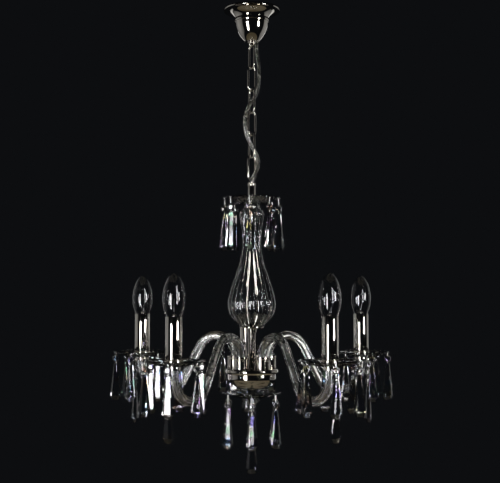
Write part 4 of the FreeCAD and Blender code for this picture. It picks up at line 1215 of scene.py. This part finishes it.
@dataclass(frozen=True)
class Bead:
    """An octagon bead that faces along X, cut to a table on both sides."""

    radius: float
    half: float
    face: float
    corner: float = 22.5
    girdle: float = 0.5

    @property
    def flat(self) -> float:
        """How far the bead's top and bottom edges lie from its middle."""
        return self.radius * cos(radians(self.corner))

    def form(self) -> Form:
        """The bead as a hull of three rings on each side."""
        form = bmesh.new()
        for radius, turn, height in ((self.radius, self.corner, self.girdle),
                                     (self.face * 1.2, 0.0, self.half * 0.78),
                                     (self.face * 0.8, self.corner, self.half)):
            for side in (1, -1):
                matrix = at_level(side * height * MM, 0.0, radians(turn))
                bmesh.ops.create_circle(form, segments=8, radius=radius * MM, matrix=matrix)
        return moved(hulled(form), Matrix.Rotation(QUARTER_TURN, 4, "Y"))


@dataclass
class Drops:
    """The beads and prisms under the rims, their wire pins, and the six pendants.

    A pin or joining wire rises above its edge by one field and is longer than its gap by another.
    """

    body: str = Body.FIXTURE.value
    circle: float = 46.5
    small: Bead = Bead(6.0, 3.0, 4.0)
    large: Bead = Bead(7.0, 4.0, 4.8)
    large_count: int = 3
    space: float = 1.8
    pendant_space: float = 1.5
    prism: float = 64.0
    arm_drop: float = 12.0
    top_drop: float = 19.0
    bottom_drop: float = 20.0
    wire: float = 0.7
    pin_bend: float = 0.9
    pin_rise: float = 0.6
    pin_more: float = 1.8
    join_rise: float = 1.4
    join_more: float = 3.2
    pendant_lift: float = 1.3
    pendant_more: float = 2.6
    six_start: float = 30.0
    eight_start: float = 40.0
    face: float = -90.0
    sway: float = 12.0

    def prism_form(self) -> Form:
        """A long prism hung from its top, widest low down, with a faceted blunt end."""
        form = bmesh.new()
        for height, wide, thick in ((0.0, 5.6, 4.2), (-1.6, 7.2, 5.2), (-56.5, 19.0, 10.0),
                                    (-self.prism, 11.0, 3.0)):
            for x, y in ((0.5, -0.25), (0.5, 0.25), (0, 0.5), (-0.5, 0.25), (-0.5, -0.25),
                         (0, -0.5)):
                form.verts.new((x * thick * MM, y * wide * MM, height * MM))
        return hulled(form)

    def pin_form(self, length: float) -> Form:
        """A small oval of wire that joins two pieces, its top at its own zero."""
        leg = max(length / 2 - self.pin_bend, 0.1)
        return moved(wire_ring(self.pin_bend, self.wire, leg, 6, 4), level_down(length / 2))

    def build(self) -> None:
        """Makes every rim's drops, their pins and the pendants."""
        bead, prism, high = self.small.form(), self.prism_form(), self.small.flat
        pins: list[tuple[Form, Matrix]] = []
        rims = [("top_crystals", "top_drops", at_level(top_of("top_dish")), self.top_drop, 8,
                 self.eight_start),
                ("bottom_crystals", "bottom_drops", at_level(top_of("bottom_dish")),
                 self.bottom_drop, 6, self.six_start)]
        rims += [(f"arm_crystals_{number}", f"arm_{number}_drops",
                  at_level(top_of(f"arm_dish_{number}"), ARM_REACH, turn), self.arm_drop, 6,
                  self.six_start) for number, turn in enumerate(ARM_TURNS, start=1)]
        reach = self.circle * MM
        for node, name, centre, drop, count, first in rims:
            parts = []
            for number in range(count):
                angle = radians(first + 360.0 * number / count)
                spot = centre @ Vector((reach * cos(angle), reach * sin(angle), 0))
                sway = self.sway if number % 2 else -self.sway
                place = standing(spot, radians(self.face + sway))
                parts.append((bead, place @ level_down(drop)))
                parts.append((prism, place @ level_down(drop + self.small.radius + self.space)))
                for long, down in ((drop - high + self.pin_more, -self.pin_rise),
                                   (self.space + self.join_more, drop + high - self.join_rise)):
                    pins.append((self.pin_form(long), place @ level_down(down)))
            installed(gathered(parts), name, self.body, [CRYSTAL], node, 1.0)
        installed(gathered(pins), "drop_pins", self.body, [WIRE], "rim_pins", 60.0)
        self.pendants(prism)

    def pendants(self, prism: Form) -> None:
        """The long pendants: three large beads and a prism on short wires."""
        bead, high = dressed(self.large.form(), 0), self.large.flat
        wire = dressed(self.pin_form(self.pendant_space + self.pendant_more), 1)
        parts = []
        for number in range(self.large_count + 1):
            level = number * (2 * high + self.pendant_space) + self.pendant_space
            lift = self.pendant_lift if number else 0.0
            parts.append((wire, level_down(level - self.pendant_space - lift)))
            last = number == self.large_count
            parts.append((dressed(prism, 0), level_down(level)) if last
                         else (bead, level_down(level + high)))
        whole = gathered(parts)
        hung = (level + self.prism) * MM
        turns = {f"pendant_{number}": turn for number, turn in enumerate(ARM_TURNS, start=1)}
        turns["bottom_pendant"] = radians(self.face)
        for node, turn in turns.items():
            place = on_axis(node, bottom_of(node) + hung, turn)
            installed(gathered([(whole, place)]), f"{node}_stones", node, [CRYSTAL, WIRE], node,
                      1.0)


# ---- studio ----

@dataclass(frozen=True)
class Strip:
    """A soft box: its direction from the camera's side, height, size, distance and power, and
    whether it shows through glass or is only mirrored in it."""

    name: str
    angle: float
    height: float
    wide: float
    tall: float
    away: float
    power: float
    through: bool = False


@dataclass
class Studio:
    """Camera, lamps, floor and the dark surroundings of the photograph, in metres."""

    camera: Triple = (-0.003, -1.62, -0.497)
    pitch: float = 3.24
    lens: float = 67.97
    sensor: float = 36.0
    middle: tuple[float, float] = (0.0, 0.0)
    floor_radius: float = 1.8
    floor_level: float = -2.1
    spread: float = 100.0
    soft_light: Triple = (0.85, 0.74, 0.55)
    soft_power: float = 0.13
    darkness: Triple = (0.0040, 0.0044, 0.0052)
    strips: tuple[Strip, ...] = (
        Strip("key_left", -30.0, -0.82, 0.42, 1.3, 1.8, 8.6, True),
        Strip("key_right", 51.0, -0.35, 0.4, 0.55, 1.8, 3.8, True),
        Strip("wing_left", -108.0, -0.4, 2.6, 1.8, 1.7, 1.3),
        Strip("wing_right", 125.0, -0.4, 1.8, 1.8, 1.7, 0.95),
        Strip("back_left", -152.0, -0.6, 0.35, 1.3, 1.8, 0.35),
        Strip("back_right", 157.0, -0.3, 0.35, 1.3, 1.8, 0.35),
    )

    def build(self) -> None:
        """Makes the studio."""
        eye = bpy.data.cameras.new("camera")
        eye.lens = self.lens
        eye.sensor_width = self.sensor
        holder = placed("camera", eye)
        holder.location = self.camera
        holder.rotation_euler = (radians(90 + self.pitch), 0, 0)
        bpy.context.scene.camera = holder
        for strip in self.strips:
            self.lamp(strip)
        self.floor()
        self.surroundings()
        bpy.context.scene.view_settings.view_transform = "Standard"

    def lamp(self, strip: Strip) -> None:
        """One soft box, aimed at the object's middle line."""
        light = bpy.data.lights.new(strip.name, "AREA")
        light.shape = "RECTANGLE"
        light.size, light.size_y = strip.wide, strip.tall
        light.energy = strip.power
        light.spread = radians(self.spread)
        holder = placed(strip.name, light)
        holder.visible_transmission = strip.through
        angle = radians(strip.angle)
        spot = Vector((sin(angle) * strip.away, -cos(angle) * strip.away, strip.height))
        holder.location = spot
        aim = Vector((*self.middle, strip.height)) - spot
        holder.rotation_euler = aim.to_track_quat("-Z", "Y").to_euler()

    def floor(self) -> None:
        """A plain pale floor, well below the lowest drop."""
        form = bmesh.new()
        bmesh.ops.create_circle(form, cap_ends=True, segments=96, radius=self.floor_radius,
                                matrix=at_level(self.floor_level))
        mesh = bpy.data.meshes.new("floor")
        form.to_mesh(mesh)
        form.free()
        mesh.materials.append(FLOOR_PAINT.material())
        placed("floor", mesh)

    def surroundings(self) -> None:
        """Dark to the eye, in mirrors and through glass, and a soft even light on dull things."""
        world = bpy.data.worlds.new("surroundings")
        world.use_nodes = True
        bpy.context.scene.world = world
        nodes, made = Nodes(world.node_tree), world.node_tree.nodes
        nodes.feed(made["Background"], Color=self.soft_light, Strength=self.soft_power)
        dark = nodes.add("Background", Color=self.darkness)
        ray = nodes.add("LightPath").outputs
        seen = nodes.most(nodes.most(ray["Is Camera Ray"], ray["Is Glossy Ray"]),
                          ray["Is Transmission Ray"])
        mix = nodes.add("MixShader", Fac=seen)
        for number, light in enumerate((made["Background"], dark), start=1):
            world.node_tree.links.new(light.outputs["Background"], mix.inputs[number])
        nodes.feed(made["World Output"], Surface=mix.outputs["Shader"])


def main() -> None:
    """Builds the chandelier's looks and its studio."""
    logging.basicConfig(level=logging.INFO, format="%(name)s: %(message)s")
    for part in (Canopy(), Chain(), Cable(), Stem(), Column(), Arms(), Drops()):
        part.build()
    Studio().build()


if __name__ == "__main__":
    main()
